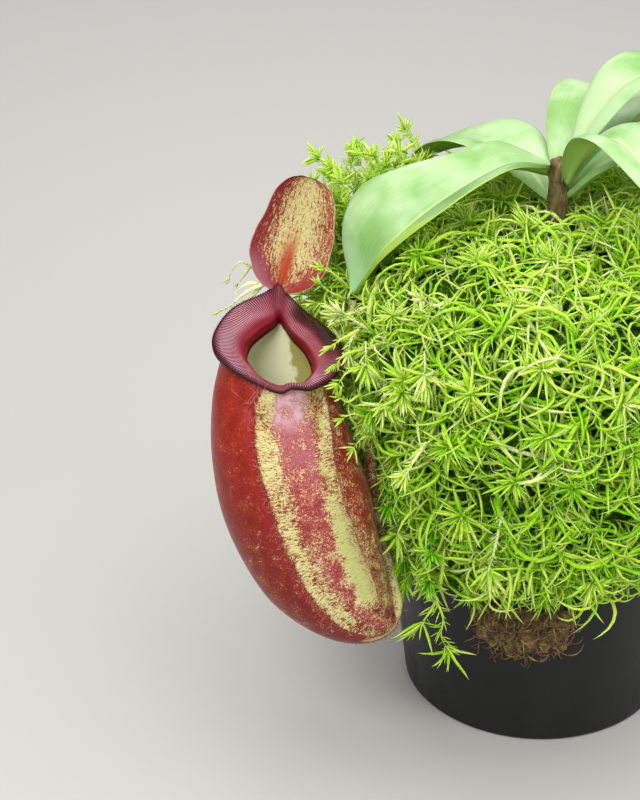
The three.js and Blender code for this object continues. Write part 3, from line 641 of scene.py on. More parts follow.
# %% The lid's outline and sheet
LID_BASE = np.array([-7.9, 18.2, 64.1])
LID_TIP = np.array([3.4, 30.2, 104.3])
LID_LEFT = [  # place along it, and half its width there
    [0, 4], [0.05, 9], [0.13, 12.6], [0.3, 15.3], [0.42, 14.9], [0.6, 13], [0.78, 11.8],
    [0.91, 9], [0.97, 6], [1, 2.6],
]
LID_RIGHT = [
    [0, 4], [0.05, 9.6], [0.13, 13.4], [0.3, 15.8], [0.45, 15.8], [0.62, 14.6], [0.8, 12.8],
    [0.92, 9.8], [0.97, 6.6], [1, 2.8],
]
lid_along = unit(LID_TIP - LID_BASE)
lid_right = unit(np.array([1.0, 0, 0]) - lid_along * lid_along[0])
lid_front = np.cross(lid_right, lid_along)


def lid_width(table, where):
    """Half the lid's width at places along it, through a smooth outline."""
    outline = curve([[w, 0, s] for s, w in table])(np.linspace(0, 1, 200))
    return np.interp(where, outline[:, 2], outline[:, 0])[:, None]


def two_faces(over, under):
    """Rings round a sheet, from the points of its two faces."""
    return np.concatenate([over, under[:, ::-1]], 1)


def sheet_marks(side, along):
    """Marks of a sheet's rings: side from -1 to 1 across it, along from 0 to 1, and under."""
    both, lower = np.concatenate([side, side[::-1]]), np.repeat([0.0, 1.0], len(side))
    along = along[:, None]
    return {"side": both[None] + 0 * along, "along": along + 0 * both[None],
            "under": lower[None] + 0 * along}


along = np.concatenate([[0, 0.012, 0.03], np.linspace(0.05, 0.95, 64), [0.972, 0.99, 1]])
side = np.sin(np.linspace(-1, 1, 41) * np.pi / 2)
s, u = along[:, None], side[None]
wide = np.where(u < 0, lid_width(LID_LEFT, along), lid_width(LID_RIGHT, along))
notch = -2.6 * np.exp(-((s / 0.1) ** 2)) * np.clip(np.abs(u) - 0.25, 0, 1)
forward = 2.4 * u * u - 2.5 * np.sin(np.pi * s) + 0.5 * np.abs(u) * np.sin(9 * s + 2 * u)
sheet = LID_BASE + (LID_TIP - LID_BASE) * s[..., None]
sheet = (sheet + lid_right * (u * wide)[..., None] + lid_front * forward[..., None]
         + lid_along * notch[..., None])
keel = 1.1 * np.exp(-((u / 0.07) ** 2)) * (1 - step(0.2, 0.75, s))
nerves = 0.12 * np.sin(np.abs(u) * 26) * np.clip(1 - u ** 4, 0, 1)
thin = 0.9 * np.sqrt(np.clip(1.0004 - u ** 8, 0, 1)) * (1 - 0.4 * u ** 2) + 0 * s
front = sheet + lid_front * (thin / 2 + keel + nerves)[..., None]
lid_rows = from_trap(two_faces(front, sheet - lid_front * (thin / 2)[..., None]))
lid_mesh = skin("trap_lid_sheet", lid_rows, marks=sheet_marks(side, along))
print("lid, widest in mm:", (wide[:, 0] + wide[:, -1]).max().round(1))

# %% [markdown]
# Red pigment over a yellow green leaf: dense at the margins, in streaks that follow the nerves up from
# the base further in, and an orange keel. The share of red falls from the margin to the middle, and a
# noise that is stretched along the nerves breaks it up.

# %% Mottled skin of the lid: where it is red
lid_skin, tree, shader = finish(
    "mottled_lid_skin", Roughness=0.45, IOR=1.4, Specular_IOR_Level=0.3)
spot = add(tree, "TexCoord").outputs["Object"]
side, along = (
    add(tree, "Attribute", attribute_name=mark).outputs["Fac"]
    for mark in ("side", "along"))
outward = add(tree, "Math", side, operation="ABSOLUTE")
nerve_space = add(tree, "CombineXYZ", X=add(tree, "Math", side, 26.0, **TIMES),
                  Y=add(tree, "Math", along, 15.0, **TIMES))
streaks = add(tree, "TexNoise", Vector=nerve_space, Scale=1.0, Detail=4.0, Roughness=0.65,
              Distortion=0.8)
grains = add(tree, "TexNoise", Vector=spot, Scale=1250.0, Detail=3.0, Roughness=0.7)
noise = add(tree, "Math", streaks, 0.62, add(tree, "Math", grains, 0.38, **TIMES), **PLUS_TIMES)
from_middle = add(tree, "MapRange", outward, 0.2, 0.95, 0.462, 0.582, **EASED)
low_down = add(tree, "MapRange", along, 0.0, 0.3, 0.12, 0.0)
more_left = add(tree, "Math", side, -0.04, low_down, **PLUS_TIMES)
over = add(tree, "Math", add(tree, "Math", from_middle, more_left), noise, operation="SUBTRACT")
red_share = add(tree, "MapRange", over, -0.05, 0.06)
print(lid_skin.name, "has so far", len(tree.nodes), "nodes")

# %% Mottled skin of the lid: its colours, from the leaf up to a pale pink with a painted highlight
red = add(tree, "Mix", add(tree, "MapRange", side, -1.0, 0.2), "#781822", "#902c1c")
red = add(tree, "Mix", add(tree, "MapRange", grains, 0.4, 0.6, 0.0, 0.6), red, "#a85858", **TINTED)
colour = add(tree, "Mix", streaks, "#ccc68a", "#acb468")
pink = add(tree, "MapRange", streaks, 0.48, 0.66, 0.0, 0.6, **EASED)
colour = add(tree, "Mix", red_share, add(tree, "Mix", pink, colour, "#c47a5c"), red)
margin = add(tree, "MapRange", outward, 0.955, 1.0, 0.0, 0.6, **EASED)
colour = add(tree, "Mix", margin, colour, "#d8a496")
# a purple pink with a whitish painted highlight, on the left near the base
pink_and_painted_haze = add(tree, "Math", add(tree, "MapRange", side, -0.95, -0.3, 0.3, 0.0, **EASED),
           add(tree, "MapRange", along, 0.08, 0.34, 1.0, 0.0, **EASED), **TIMES)
colour = add(tree, "Mix", pink_and_painted_haze, colour, "#c08a98")
keel = add(tree, "Math", add(tree, "MapRange", outward, 0.03, 0.3, 0.95, 0.0, **EASED),
           add(tree, "MapRange", along, 0.25, 0.6, 1.0, 0.0, **EASED), **TIMES)
give(shader, {"Base Color": add(tree, "Mix", keel, colour, "#9c300f"),
              "Normal": add(tree, "Bump", Strength=0.3, Distance=0.0004, Height=streaks)})
place("trap_lid_sheet", lid_mesh, lid_skin, "trap_lid", "trap_lid")

# %% [markdown]
# ## Tendrils
#
# A leaf of this plant runs out into a tendril, and the trap grows at its end. A tendril is a round bar
# that swells towards the trap, so a skin through rings along its path does it.

# %% Bars along a path, and the trap's tendril
def bar_rows(path, radii, count, sides):
    """Rings along a smooth path, with a radius at equal steps, carried along without a twist."""
    spots = np.linspace(0, 1, 800)
    length = lengths(path(spots))
    centres = path(np.interp(np.linspace(0, length[-1], count), length, spots))
    tangent = unit(np.gradient(centres, axis=0))
    across = unit(np.cross(tangent[0], [0.3, 0.1, 1.0]))
    turn = np.arange(sides) / sides * 2 * np.pi
    rings = []
    for centre, ahead, share in zip(centres, tangent, np.linspace(0, 1, count)):
        across = unit(across - ahead * (across @ ahead))
        upward = np.cross(ahead, across)
        radius = np.interp(share, np.linspace(0, 1, len(radii)), radii)
        around = np.cos(turn)[:, None] * across + np.sin(turn)[:, None] * upward
        rings.append(centre + radius * around)
    return np.array(rings)


TENDRIL_FROM_LEAF = [[-79.1, -21.4, 188.1], [-81, -27, 177], [-80.5, -34.5, 164], [-77, -43.5, 151]]
TENDRIL_AT_TRAP = [
    (27.3, 5, 3.7), (27.4, 5.5, -2.5), (27.8, 7.2, -9), (28.8, 10.5, -19.7), (30.7, 10.7, -31.3),
    (33.2, 8, -42.7), (35.2, 5, -50.6), (36.7, 2.8, -56), (37.3, 1.3, -60), (36.3, -0.1, -63.6),
    (33.6, 0, -66.2),
]
TRAP_TENDRIL_SWELL = [1.2, 1.25, 1.3, 1.4, 1.6, 2.0, 2.3, 2.5, 2.7, 2.8, 2.9]
rows = bar_rows(curve([*TENDRIL_FROM_LEAF, *from_trap(TENDRIL_AT_TRAP)]), TRAP_TENDRIL_SWELL, 160, 16)
share = np.linspace(0, 1, 160)[:, None] + np.zeros((1, 16))
near_cup, at_foot = step(0.3, 0.45, share), step(0.78, 0.92, share)
pale_side = at_foot * step(0.2, 0.75, unit(rows - rows.mean(1, keepdims=True))[..., 0])
tendril_mesh = skin("trap_tendril_skin", rows, marks={
    "fleck": 0.5 - 0.1 * near_cup + 0.05 * at_foot + 0.5 * pale_side,
    "green": 0.25 + 0.3 * pale_side, "blush": 0.25 + 0 * share,
    "down": near_cup, "hairy": 0.3 * near_cup})
place("trap_tendril_skin", tendril_mesh, cup_skin, "tendril_skin", "trap_tendril")

# %% [markdown]
# Away from the trap a tendril has a smooth green skin with soft red blotches, which grow more and
# larger towards its end. It is a little waxy, so it shows a narrow highlight along its length.

# %% Smooth skin of tendrils and spur, and the spur
tendril_skin, tree, shader = finish("smooth_tendril_skin", Roughness=0.4, IOR=1.42)
spot = add(tree, "TexCoord").outputs["Object"]
along = add(tree, "Attribute", attribute_name="along").outputs["Fac"]
blotches = add(tree, "TexNoise", Vector=spot, Scale=420.0, Detail=3.0, Roughness=0.6)
limit = add(tree, "Math", add(tree, "Math", along, 0.35, **TIMES), 0.24)
over = add(tree, "Math", limit, blotches, operation="SUBTRACT")
red_share = add(tree, "MapRange", over, -0.06, 0.08)
give(shader, {"Base Color": add(tree, "Mix", red_share, "#a9b052", "#a8584c")})
spur_path = curve([[-8.4, 16.5, 61.4], [-9, 21, 61.2], [-9.8, 26, 63], [-10.2, 29, 66]])
spur_rows = from_trap(bar_rows(spur_path, [0.75, 0.65, 0.5, 0.2], 30, 8))
spur_mesh = skin("trap_spur_skin", spur_rows, marks={"along": np.full((30, 8), 0.8)})
place("trap_spur_skin", spur_mesh, tendril_skin, "trap_lid", "trap_spur")

# %% [markdown]
# ## Leaves
#
# The leaves are thick, waxy straps with a V-shaped channel. Each is drawn as three curves: the left
# edge, the midrib and the right edge. Each half bulges a little between midrib and edge, and the blade
# is thickest along the midrib and thin at the edges. The leaf that carries the trap is the big one in
# the photograph, and its three curves follow it. The others stand round the stem as they do in such a
# rosette, and one rule with a length, a width, a rise and a drop draws each.

# %% A blade from its two edges and its midrib, and the leaf that carries the trap
def blade(left, midrib, right, thickness, bulge, count, columns):
    """Rings of a blade from base to tip, and its marks."""
    along = np.linspace(0, 1, count)
    a, m, b = left(along), midrib(along), right(along)
    up = unit(np.cross(b - a, np.gradient(m, axis=0)))[:, None]
    a, m, b = a[:, None], m[:, None], b[:, None]
    side = np.sin(np.linspace(-1, 1, columns) * np.pi / 2)
    share = np.abs(side)[None, :, None]
    sheet = m + np.where(side[None, :, None] < 0, a - m, b - m) * share
    sheet = sheet + up * bulge * 4 * share * (1 - share)
    thin = thickness * (1 - 0.72 * share**2) * np.sqrt(np.clip(1.0004 - share**6, 0, 1))
    keel = 1 + 1.6 * np.exp(-((share / 0.07) ** 2))
    rows = two_faces(sheet + up * thin / 2, sheet - up * thin / 2 * keel)
    return rows, sheet_marks(side, along)


TRAP_LEAF_LEFT = [
    [-4.2, -2.6, 235.6], [-19.5, -18, 242], [-32, -27.3, 239.8], [-47.2, -35.5, 232.2],
    [-59.4, -38.8, 223.8], [-68, -37.4, 214.8], [-72.6, -32, 205.8], [-77.6, -22.9, 191.6],
]
TRAP_LEAF_MIDRIB = [
    [-3.9, -0.8, 233], [-18.8, -7.5, 238.4], [-33.2, -14, 234.4], [-48.8, -20, 226.6],
    [-60, -23.6, 218], [-67.8, -24.5, 209.6], [-72.4, -23.6, 201.2], [-78.2, -21, 189.9],
]
TRAP_LEAF_RIGHT = [
    [-4.2, 1.2, 235.6], [-24.3, 2.9, 244.5], [-42.4, -0.4, 240.7], [-61.5, -1.9, 235.5],
    [-76.1, -2.8, 228.5], [-82.6, -6.2, 218.6], [-83.7, -10.4, 207.4], [-79.6, -19.3, 191.6],
]
leaf_rows, marks = blade(
    curve(TRAP_LEAF_LEFT), curve(TRAP_LEAF_MIDRIB), curve(TRAP_LEAF_RIGHT), 1.3, 1.8, 90, 33)
band = 0.08 + 0.85 * step(0.42, 0.66, marks["along"])
# painted shade on the near half, weaker towards the tip
marks["near_half"] = step(0.02, 0.1, -marks["side"]) * (1 - 0.5 * marks["along"])
marks["near_margin"] = step(1 - band, 1 - 0.6 * band, -marks["side"])
leaf_mesh = skin("leaf_trap_blade", leaf_rows, marks=marks)
print("leaf's length in mm:", round(lengths(curve(TRAP_LEAF_MIDRIB)(spots))[-1], 1))

# %% [markdown]
# A leaf's skin is green tissue under a thick wax, which clouds it and gives it a broad soft highlight.
# Fine nerves line it, a pale line marks its midrib and its margins, and the half that faces the
# viewer is darkened with painted shade, less towards the tip, and turns olive there.

# %% Waxy leaf skin
leaf_skin, tree, shader = finish("waxy_leaf_skin", Roughness=0.36, IOR=1.45)
spot = add(tree, "TexCoord").outputs["Object"]
side, along, under, near_half, near_margin = (
    add(tree, "Attribute", attribute_name=mark).outputs["Fac"]
    for mark in ("side", "along", "under", "near_half", "near_margin"))
outward = add(tree, "Math", side, operation="ABSOLUTE")
cloud = add(tree, "TexNoise", Vector=spot, Scale=34.0, Detail=3.0, Roughness=0.55)
nerve_space = add(tree, "CombineXYZ", X=add(tree, "Math", side, 30.0, **TIMES),
                  Y=add(tree, "Math", along, 4.0, **TIMES))
nerves = add(tree, "TexNoise", Vector=nerve_space, Scale=1.0, Detail=3.0, Roughness=0.6)
colour = add(tree, "Mix", add(tree, "MapRange", cloud, 0.38, 0.62), "#86b262", "#bcd8a2")
lined = add(tree, "MapRange", nerves, 0.45, 0.75, 0.0, 0.3)
colour = add(tree, "Mix", lined, colour, "#a8d090", **TINTED)
at_tip = add(tree, "MapRange", along, 0.72, 1.0, 0.0, 0.6, **EASED)
colour = add(tree, "Mix", at_tip, colour, "#9bcfa2")
# painted shade on the near half, which faces away from the light
colour = add(tree, "Mix", add(tree, "Math", near_half, 0.9, **TIMES), colour, "#9ab884", **TINTED)
margin = add(tree, "Math", add(tree, "MapRange", outward, 0.95, 0.99, 0.0, 0.7, **EASED),
             add(tree, "Math", near_margin, 0.85, **TIMES), operation="MAXIMUM")
colour = add(tree, "Mix", margin, colour, add(tree, "Mix", side, "#a0bf44", "#93a07a"))
midrib = add(tree, "MapRange", outward, 0.015, 0.06, 0.75, 0.0, **EASED)
colour = add(tree, "Mix", midrib, colour, "#cfdf8e")
colour = add(tree, "Mix", add(tree, "Math", under, 0.65, **TIMES), colour, "#9dbb45")
give(shader, {"Base Color": colour,
              "Normal": add(tree, "Bump", Strength=0.25, Distance=0.0006, Height=nerves)})
place("leaf_trap_blade", leaf_mesh, leaf_skin, "leaf_blade", "leaf_trap")

# %% The other leaves and their tendrils
STEM_RADIUS = 4.2
LEAF_FOLD = math.radians(18)
LEAVES = [  # azimuth, height of the base, length, half width, rise, drop
    (131, 219, 76, 17, 14, 8), (62, 219, 98, 20, 26, 12), (350, 222, 96, 20, 25, 10),
    (25, 233, 66, 14, 30, -16), (302, 229, 62, 13, 26, -12),
]
TENDRIL_PATH = [  # from the leaf's tip: on ahead, level with it, and down
    (2, 3, -1), (0.5, 8, -6), (0.5, 12, -14), (0.5, 12.5, -20), (0.5, 10, -23),
]
TENDRIL_SWELL = [0.9, 0.8, 0.8, 1, 2.1, 1.2]


def leaf_curve(side, azimuth, base, length, half, rise, drop):
    """A leaf's edge, or its midrib at side 0."""
    cos, sin = math.cos(math.radians(azimuth)), math.sin(math.radians(azimuth))
    points = []
    for t in (-0.012, 0.12, 0.3, 0.5, 0.7, 0.88, 1):
        reach = STEM_RADIUS + 3 * GAP + length * t
        s = max(t, 0)
        wide = 1.6 + half * math.sin(math.pi * s**0.85) ** 0.75
        out = side * wide * math.cos(LEAF_FOLD)
        height = base + rise * math.sin(math.pi * s**0.8) - drop * s * s
        height += abs(side) * wide * math.sin(LEAF_FOLD)
        points.append([reach * cos + out * sin, reach * sin - out * cos, height])
    return curve(points)


for number, leaf in enumerate(LEAVES, 1):
    name, drop = f"leaf_{number}", leaf[-1]
    midrib = leaf_curve(0, *leaf)
    rows, marks = blade(leaf_curve(-1, *leaf), midrib, leaf_curve(1, *leaf), 1.2, 1.6, 70, 25)
    place(f"{name}_blade", skin(f"{name}_blade", rows, marks=marks), leaf_skin, "leaf_blade", name)
    tip = midrib(1.0)[0]
    ahead = unit(tip - midrib(0.98)[0])
    level, droop = unit(ahead * np.array([1, 1, 0])), 1 if drop > 0 else 0.7
    path = [tip + ahead * on + level * reach + np.array([0, 0, fall * droop])
            for on, reach, fall in TENDRIL_PATH]
    rows = bar_rows(curve([tip - ahead * 0.5, *path]), TENDRIL_SWELL, 60, 12)
    share = np.linspace(0, 1, 60)[:, None] + np.zeros((1, 12))
    name += "_tendril"
    place(f"{name}_skin", skin(f"{name}_skin", rows, marks={"along": share * 0.7}), tendril_skin,
          "tendril_skin", name)

# %% [markdown]
# ## Stem
#
# Between the leaves the stem shows old leaf scars: short steps in its thickness. Its thin bark is corky
# and brown, with green living tissue where it has worn through, and it is dull.

# %% Stem with leaf scars
STEM_FOOT, STEM_TOP, SCARS = 104, 239, 15
heights = np.linspace(0, 1, 150)
centres = curve([[0, 0, STEM_FOOT], [0.4, 0, 170], [0, 0, STEM_TOP]])(heights)
turn = np.arange(24) / 24 * 2 * np.pi
scars = 0.55 * (1 - ((heights * SCARS) % 1)) ** 3
wavy = 1 + 0.04 * np.sin(3 * turn[None] + 20 * heights[:, None])
radius = (STEM_RADIUS - 0.35 + scars[:, None]) * wavy
radius *= (1 - 0.75 * step(0.985, 1, heights))[:, None]
rows = centres[:, None] + np.stack([radius * np.cos(turn), radius * np.sin(turn), 0 * radius], -1)
bark = grainy("thin_corky_stem_bark", 500.0, 4.0, 0.65, [
    (0.3, "#3d2c1c"), (0.5, "#6b5233"), (0.7, "#7d7a3c")], (0.6, 0.6), (1, 1, 0.35), Roughness=0.75)
place("stem_bark", skin("stem_bark", rows), bark, "stem_bark", "stem")

# %% [markdown]
# ## Live moss
#
# The moss is live sphagnum. Each shoot ends in a head of a dozen soft branches: the young ones stand
# up in its middle, and the older ones spread and curl. Thousands of heads stand side by side, so that
# nothing of the ground shows but dark gaps. A drawn surface would be hopeless, and so would placing
# them by hand: a Geometry Nodes tree grows the branches on a dark body that keeps the cushion's shape.

# %% Round the pot, and clear of the cup
POT_HEIGHT, POT_BASE, POT_TOP, RIM_STEP, RIM_DEPTH = 140, 55, 71.5, 1.6, 11
MOSS_RADIUS, MOSS_TOP, MOSS_SQUARENESS, MOSS_SKIRT = 88, 213, 3.4, 3
MOSS_MIDDLE = np.array([0, 0, 150.0])
MOSS_DEPTH = 7.5  # from the heads down to the dark body
LUMP_SIZE, LUMP_HEIGHT, PATCH_SIZE = 14, 1.6, 26  # a patch has fewer or more shoots
CLEAR = 3.0  # between the dark body and the cup


def pot_wall(height):
    """The pot's outer radius at a height."""
    return POT_BASE + (POT_TOP - POT_BASE) * height / POT_HEIGHT


def moss_bump(degrees):
    """How far the moss stands out at a direction round the pot."""
    a = np.radians(np.asarray(degrees, float) % 360)
    lobe = 9 * np.exp(-0.5 * ((a - math.radians(171)) / math.radians(9)) ** 2)
    return lobe + 1.8 * (np.sin(5 * a + 1) + 0.6 * np.sin(9 * a + 5.3)) / 1.6


def around_pot(radius, degrees, height):
    """Points at a radius, a direction and a height."""
    a = np.radians(degrees)
    spot = np.broadcast_arrays(radius * np.cos(a), radius * np.sin(a), height)
    return np.stack(spot, -1).astype(float)


def lumps(points, size):
    """A rolling unevenness, from about -1 to 1, over lengths of that size in mm."""
    x, y, z = (points[..., k] / size for k in range(3))
    return (np.sin(x * 5.1 + 2.3 * np.sin(y * 3.7)) + np.sin(y * 5.9 + 2.1 * np.sin(z * 4.3 + 1))
            + np.sin(z * 6.3 + 1.9 * np.sin(x * 4.9 + 2))) / 3


def in_cup(points, margin):
    """Whether points lie in the trap's cup or nearer to it than a margin in mm."""
    x, y, z = (points.reshape(-1, 3) - TRAP_PLACE).T
    cos, sin = math.cos(TRAP_LEAN), math.sin(TRAP_LEAN)
    p = np.stack([x, y * cos - z * sin, y * sin + z * cos], -1)
    places = np.linspace(0, 1, 90)
    left, right = cup_left(places), cup_right(places)
    middle, reach = (left + right) / 2, np.linalg.norm(right - left, axis=1) / 2
    across = ((right - left) / 2 / reach[:, None])[None]
    offset = p[:, None] - middle[None]
    sideways = (offset * across).sum(-1)
    off_plane = np.abs(offset[..., 0] * across[..., 2] - offset[..., 2] * across[..., 0])
    off_plane += 3 * np.clip(np.abs(sideways) - reach - margin, 0, None)
    best = off_plane.argmin(1)
    pick = np.arange(len(p))
    u = sideways[pick, best] / (reach[best] + margin)
    v = p[:, 1] / (reach[best] * CUP_ROUNDNESS + margin)
    return ((u * u + v * v < 1) & (off_plane[pick, best] < 2 + margin)).reshape(points.shape[:-1])


def clear_of_cup(points):
    """Points moved in towards the pot's middle until they are clear of the cup."""
    points = points.copy()
    for _ in range(60):
        blocked = in_cup(points, CLEAR)
        if not blocked.any():
            break
        points[blocked] -= unit(points * np.array([1, 1, 0]))[blocked]
    return points


def even_steps(corners, count):
    """Radii and heights at equal steps along an outline."""
    corners = np.array(corners)
    length = lengths(corners)
    places = np.linspace(0, length[-1], count)
    return np.interp(places, length, corners[:, 0]), np.interp(places, length, corners[:, 1])


print("moss stands out by mm at the trap:", moss_bump(171).round(1))

# %% The dark bodies of the cushion and of the clumps that hang over the rim
CLUMPS = [  # from and to, in degrees round the pot, and the height of the foot
    (158, 204, 104), (204, 228, 118), (228, 262, 75), (262, 296, 78),
    (296, 340, 86), (340, 385, 98), (385, 452, 90), (452, 518, 101),
]
CLUMP_POINTS = 26

azimuths = np.arange(180) * 2.0
rise = np.sin(np.pi / 2 * np.linspace(0, 1, 34))
reach = (1 - rise**MOSS_SQUARENESS) ** (1 / MOSS_SQUARENESS)
dome_radius = STEM_RADIUS + 1 + (MOSS_RADIUS - MOSS_DEPTH - STEM_RADIUS - 1) * reach
dome_height = POT_HEIGHT + GAP + MOSS_SKIRT + (MOSS_TOP - MOSS_DEPTH - POT_HEIGHT - MOSS_SKIRT) * rise
underside = [STEM_RADIUS + 1, 40, 66, MOSS_RADIUS - MOSS_DEPTH - 3]  # its radii
profile_radius = np.concatenate([underside, dome_radius])[:, None]
profile_height = np.concatenate([[POT_HEIGHT + 1] * len(underside), dome_height])[:, None]
on_top = (np.arange(len(profile_radius)) >= len(underside))[:, None]
cushion = around_pot(profile_radius + moss_bump(azimuths)[None] * step(30, 80, profile_radius),
                     azimuths[None], profile_height)
outwards = unit(cushion - MOSS_MIDDLE)
cushion += outwards * lumps(cushion, LUMP_SIZE)[..., None] * LUMP_HEIGHT * on_top[..., None]
cushion_mesh = skin("moss_cushion_body", clear_of_cup(cushion), joined=True)


def clump_rows(start, end, foot):
    """Rings of a hanging clump's body, from one end of it to the other."""
    rings = []
    for share in np.linspace(0, 1, int((end - start) / 2) + 1):
        azimuth = start + 0.25 + (end - start - 0.5) * share
        low = foot + 3 + 3 * math.sin(share * 17 + start)
        under, top = POT_HEIGHT - RIM_DEPTH - 2, POT_HEIGHT - GAP
        wall, rim = pot_wall(low) + 2 * GAP, POT_TOP + RIM_STEP + 2 * GAP
        outer = MOSS_RADIUS - 1 - MOSS_DEPTH + float(moss_bump(azimuth)) - 2 * math.sin(math.pi * share)
        radius, height = even_steps([
            [rim, top], [rim, under], [pot_wall(under - 2) + 2 * GAP, under - 2], [wall, low],
            [wall + 2.5, low - 1], [wall + (outer - wall) * 0.6, low + (top - low) * 0.28],
            [wall + (outer - wall) * 0.85, low + (top - low) * 0.55], [outer, top - 6],
            [outer - 2, top]], CLUMP_POINTS)
        rings.append(around_pot(radius, azimuth, height))
    return clear_of_cup(np.array(rings))


clump_meshes = [skin(f"moss_clump_{i}_body", clump_rows(*clump))
                for i, clump in enumerate(CLUMPS, 1)]
print("clump bodies:", len(clump_meshes))

# %% [markdown]
# The gaps between the shoots lead down to dead moss in deep shade, and the body's near black green is
# painted shade for it; it is dull, with a rough relief that catches a little light.

# %% Dark ground of the moss
ground = grainy("shaded_moss_ground", 700.0, 4.0, 0.7, [
    (0.3, "#142004"), (0.5, "#2e4e06"), (0.68, "#5c8e0c")], (0.8, 1.0),
    Roughness=0.95, Specular_IOR_Level=0.1)
place("moss_cushion_body", cushion_mesh, ground, "live_moss", "moss_cushion")
for i, mesh in enumerate(clump_meshes, 1):
    place(f"moss_clump_{i}_body", mesh, ground, "live_moss", f"moss_clump_{i}")

# %% [markdown]
# Each branch is a thin bar that swells a little and then tapers, with three sides and a few steps,
# since there are tens of thousands. Eight kinds of it differ in their bend. One tree scatters the
# heads evenly, copies each point a dozen times, and turns and scales every copy by its age in the
# head. Another grows branches along drawn lines, for stems that leave the crowd.

# %% Geometry Nodes: what the trees share
BENDS = [  # two handles and the end of a branch about 1 long: six curled ones, then two straight ones
    ((0, 0.25, 0.35), (0.05, -0.1, 0.95), (0.1, -0.7, 0.6)),
    ((-0.3, 0.1, 0.3), (0.1, 0.2, 0.95), (0.7, -0.1, 0.5)),
    ((0.3, -0.2, 0.25), (-0.2, -0.2, 0.85), (-0.7, -0.25, 0.35)),
    ((0, -0.5, 0.1), (0.4, -0.7, 0.5), (0.3, -0.1, 0.85)),
    ((0.5, -0.2, 0.15), (0.55, 0.35, 0.5), (-0.1, 0.35, 0.75)),
    ((-0.1, 0.4, 0.3), (0.5, 0.3, 0.8), (0.75, -0.35, 0.35)),
    ((-0.04, 0.02, 0.3), (0.04, -0.02, 0.7), (0.1, -0.16, 0.96)),
    ((0.06, -0.04, 0.33), (0, 0.04, 0.66), (0.04, 0.06, 1.0)),
]
STRAIGHT, LAST_BEND = 6, 7  # numbers of the first straight kind and of the last kind
BRANCH_STEPS, STEM_LEAF_STEPS = 8, 4
BRANCH_SIDES, STEM_SIDES = 3, 5
GOLDEN_TURN = 2.39996  # radians between one branch of a head and the next
FULL_TURN = 6.283
STORE = "StoreNamedAttribute"  # makes points remember a value by a name


def new_tree(name, **inputs):
    """A Geometry Nodes tree with a mesh and other named inputs: the tree and its inputs."""
    tree = bpy.data.node_groups.new(name, "GeometryNodeTree")
    sockets = [("Mesh", "INPUT", "Geometry"), *((n, "INPUT", kind) for n, kind in inputs.items()),
               ("Grown", "OUTPUT", "Geometry")]
    for socket, way, kind in sockets:
        tree.interface.new_socket(name=socket, in_out=way, socket_type=f"NodeSocket{kind}")
    return tree, add(tree, "GroupInput").outputs


def leaning(tree, base, tilt, turn):
    """A direction tilted off another one, towards a turn round it."""
    lean = add(tree, "EulerToRotation", add(tree, "CombineXYZ", X=tilt, Z=turn))
    return add(tree, "RotateRotation", base, lean, rotation_space="LOCAL")


def bend(tree, first, second, end, resolution, steps, along):
    """A bent line from 0 to an end in equal steps, whose points remember their share of it."""
    line = add(tree, "CurvePrimitiveBezierSegment", Resolution=resolution, Start=(0, 0, 0),
               Start_Handle=first, End_Handle=second, End=end)
    points = add(tree, "ResampleCurve", Curve=line, Count=steps + 1)
    return add(tree, STORE, points, None, "along", along)


def branches(tree, points, width, steps, first, last, seed, turned, length):
    """A branch of any kind from first to last at each point. width is half its width for a length
    of 1."""
    along = add(tree, "SplineParameter")
    fall = add(tree, "Math", along, -2.65, 2.2, **PLUS_TIMES)
    swell = add(tree, "Math", along, fall, 0.49, **PLUS_TIMES)
    radius = add(tree, "Math", swell, width, **TIMES)
    ring = add(tree, "CurvePrimitiveCircle", BRANCH_SIDES, 1.0)
    kinds = add(tree, "GeometryToInstance")
    for handles in reversed(BENDS):  # a joined socket keeps its latest link first
        line = bend(tree, *handles, 16, steps, along)
        give(kinds, {0: add(tree, "CurveToMesh", line, ring, Scale=radius)})
    number = add(tree, "RandomValue", first, last, Seed=seed, data_type="INT")
    return add(tree, "InstanceOnPoints", Points=points, Instance=kinds, Pick_Instance=True,
               Instance_Index=number, Rotation=turned, Scale=length)


def finished_tree(tree, instances, material):
    """Ends a tree: instances made real, with their material."""
    real = add(tree, "RealizeInstances", instances)
    done = add(tree, "SetMaterial", Geometry=real, Material=material)
    add(tree, "GroupOutput", done)
    print("tree:", tree.name, "nodes:", len(tree.nodes))
    return tree


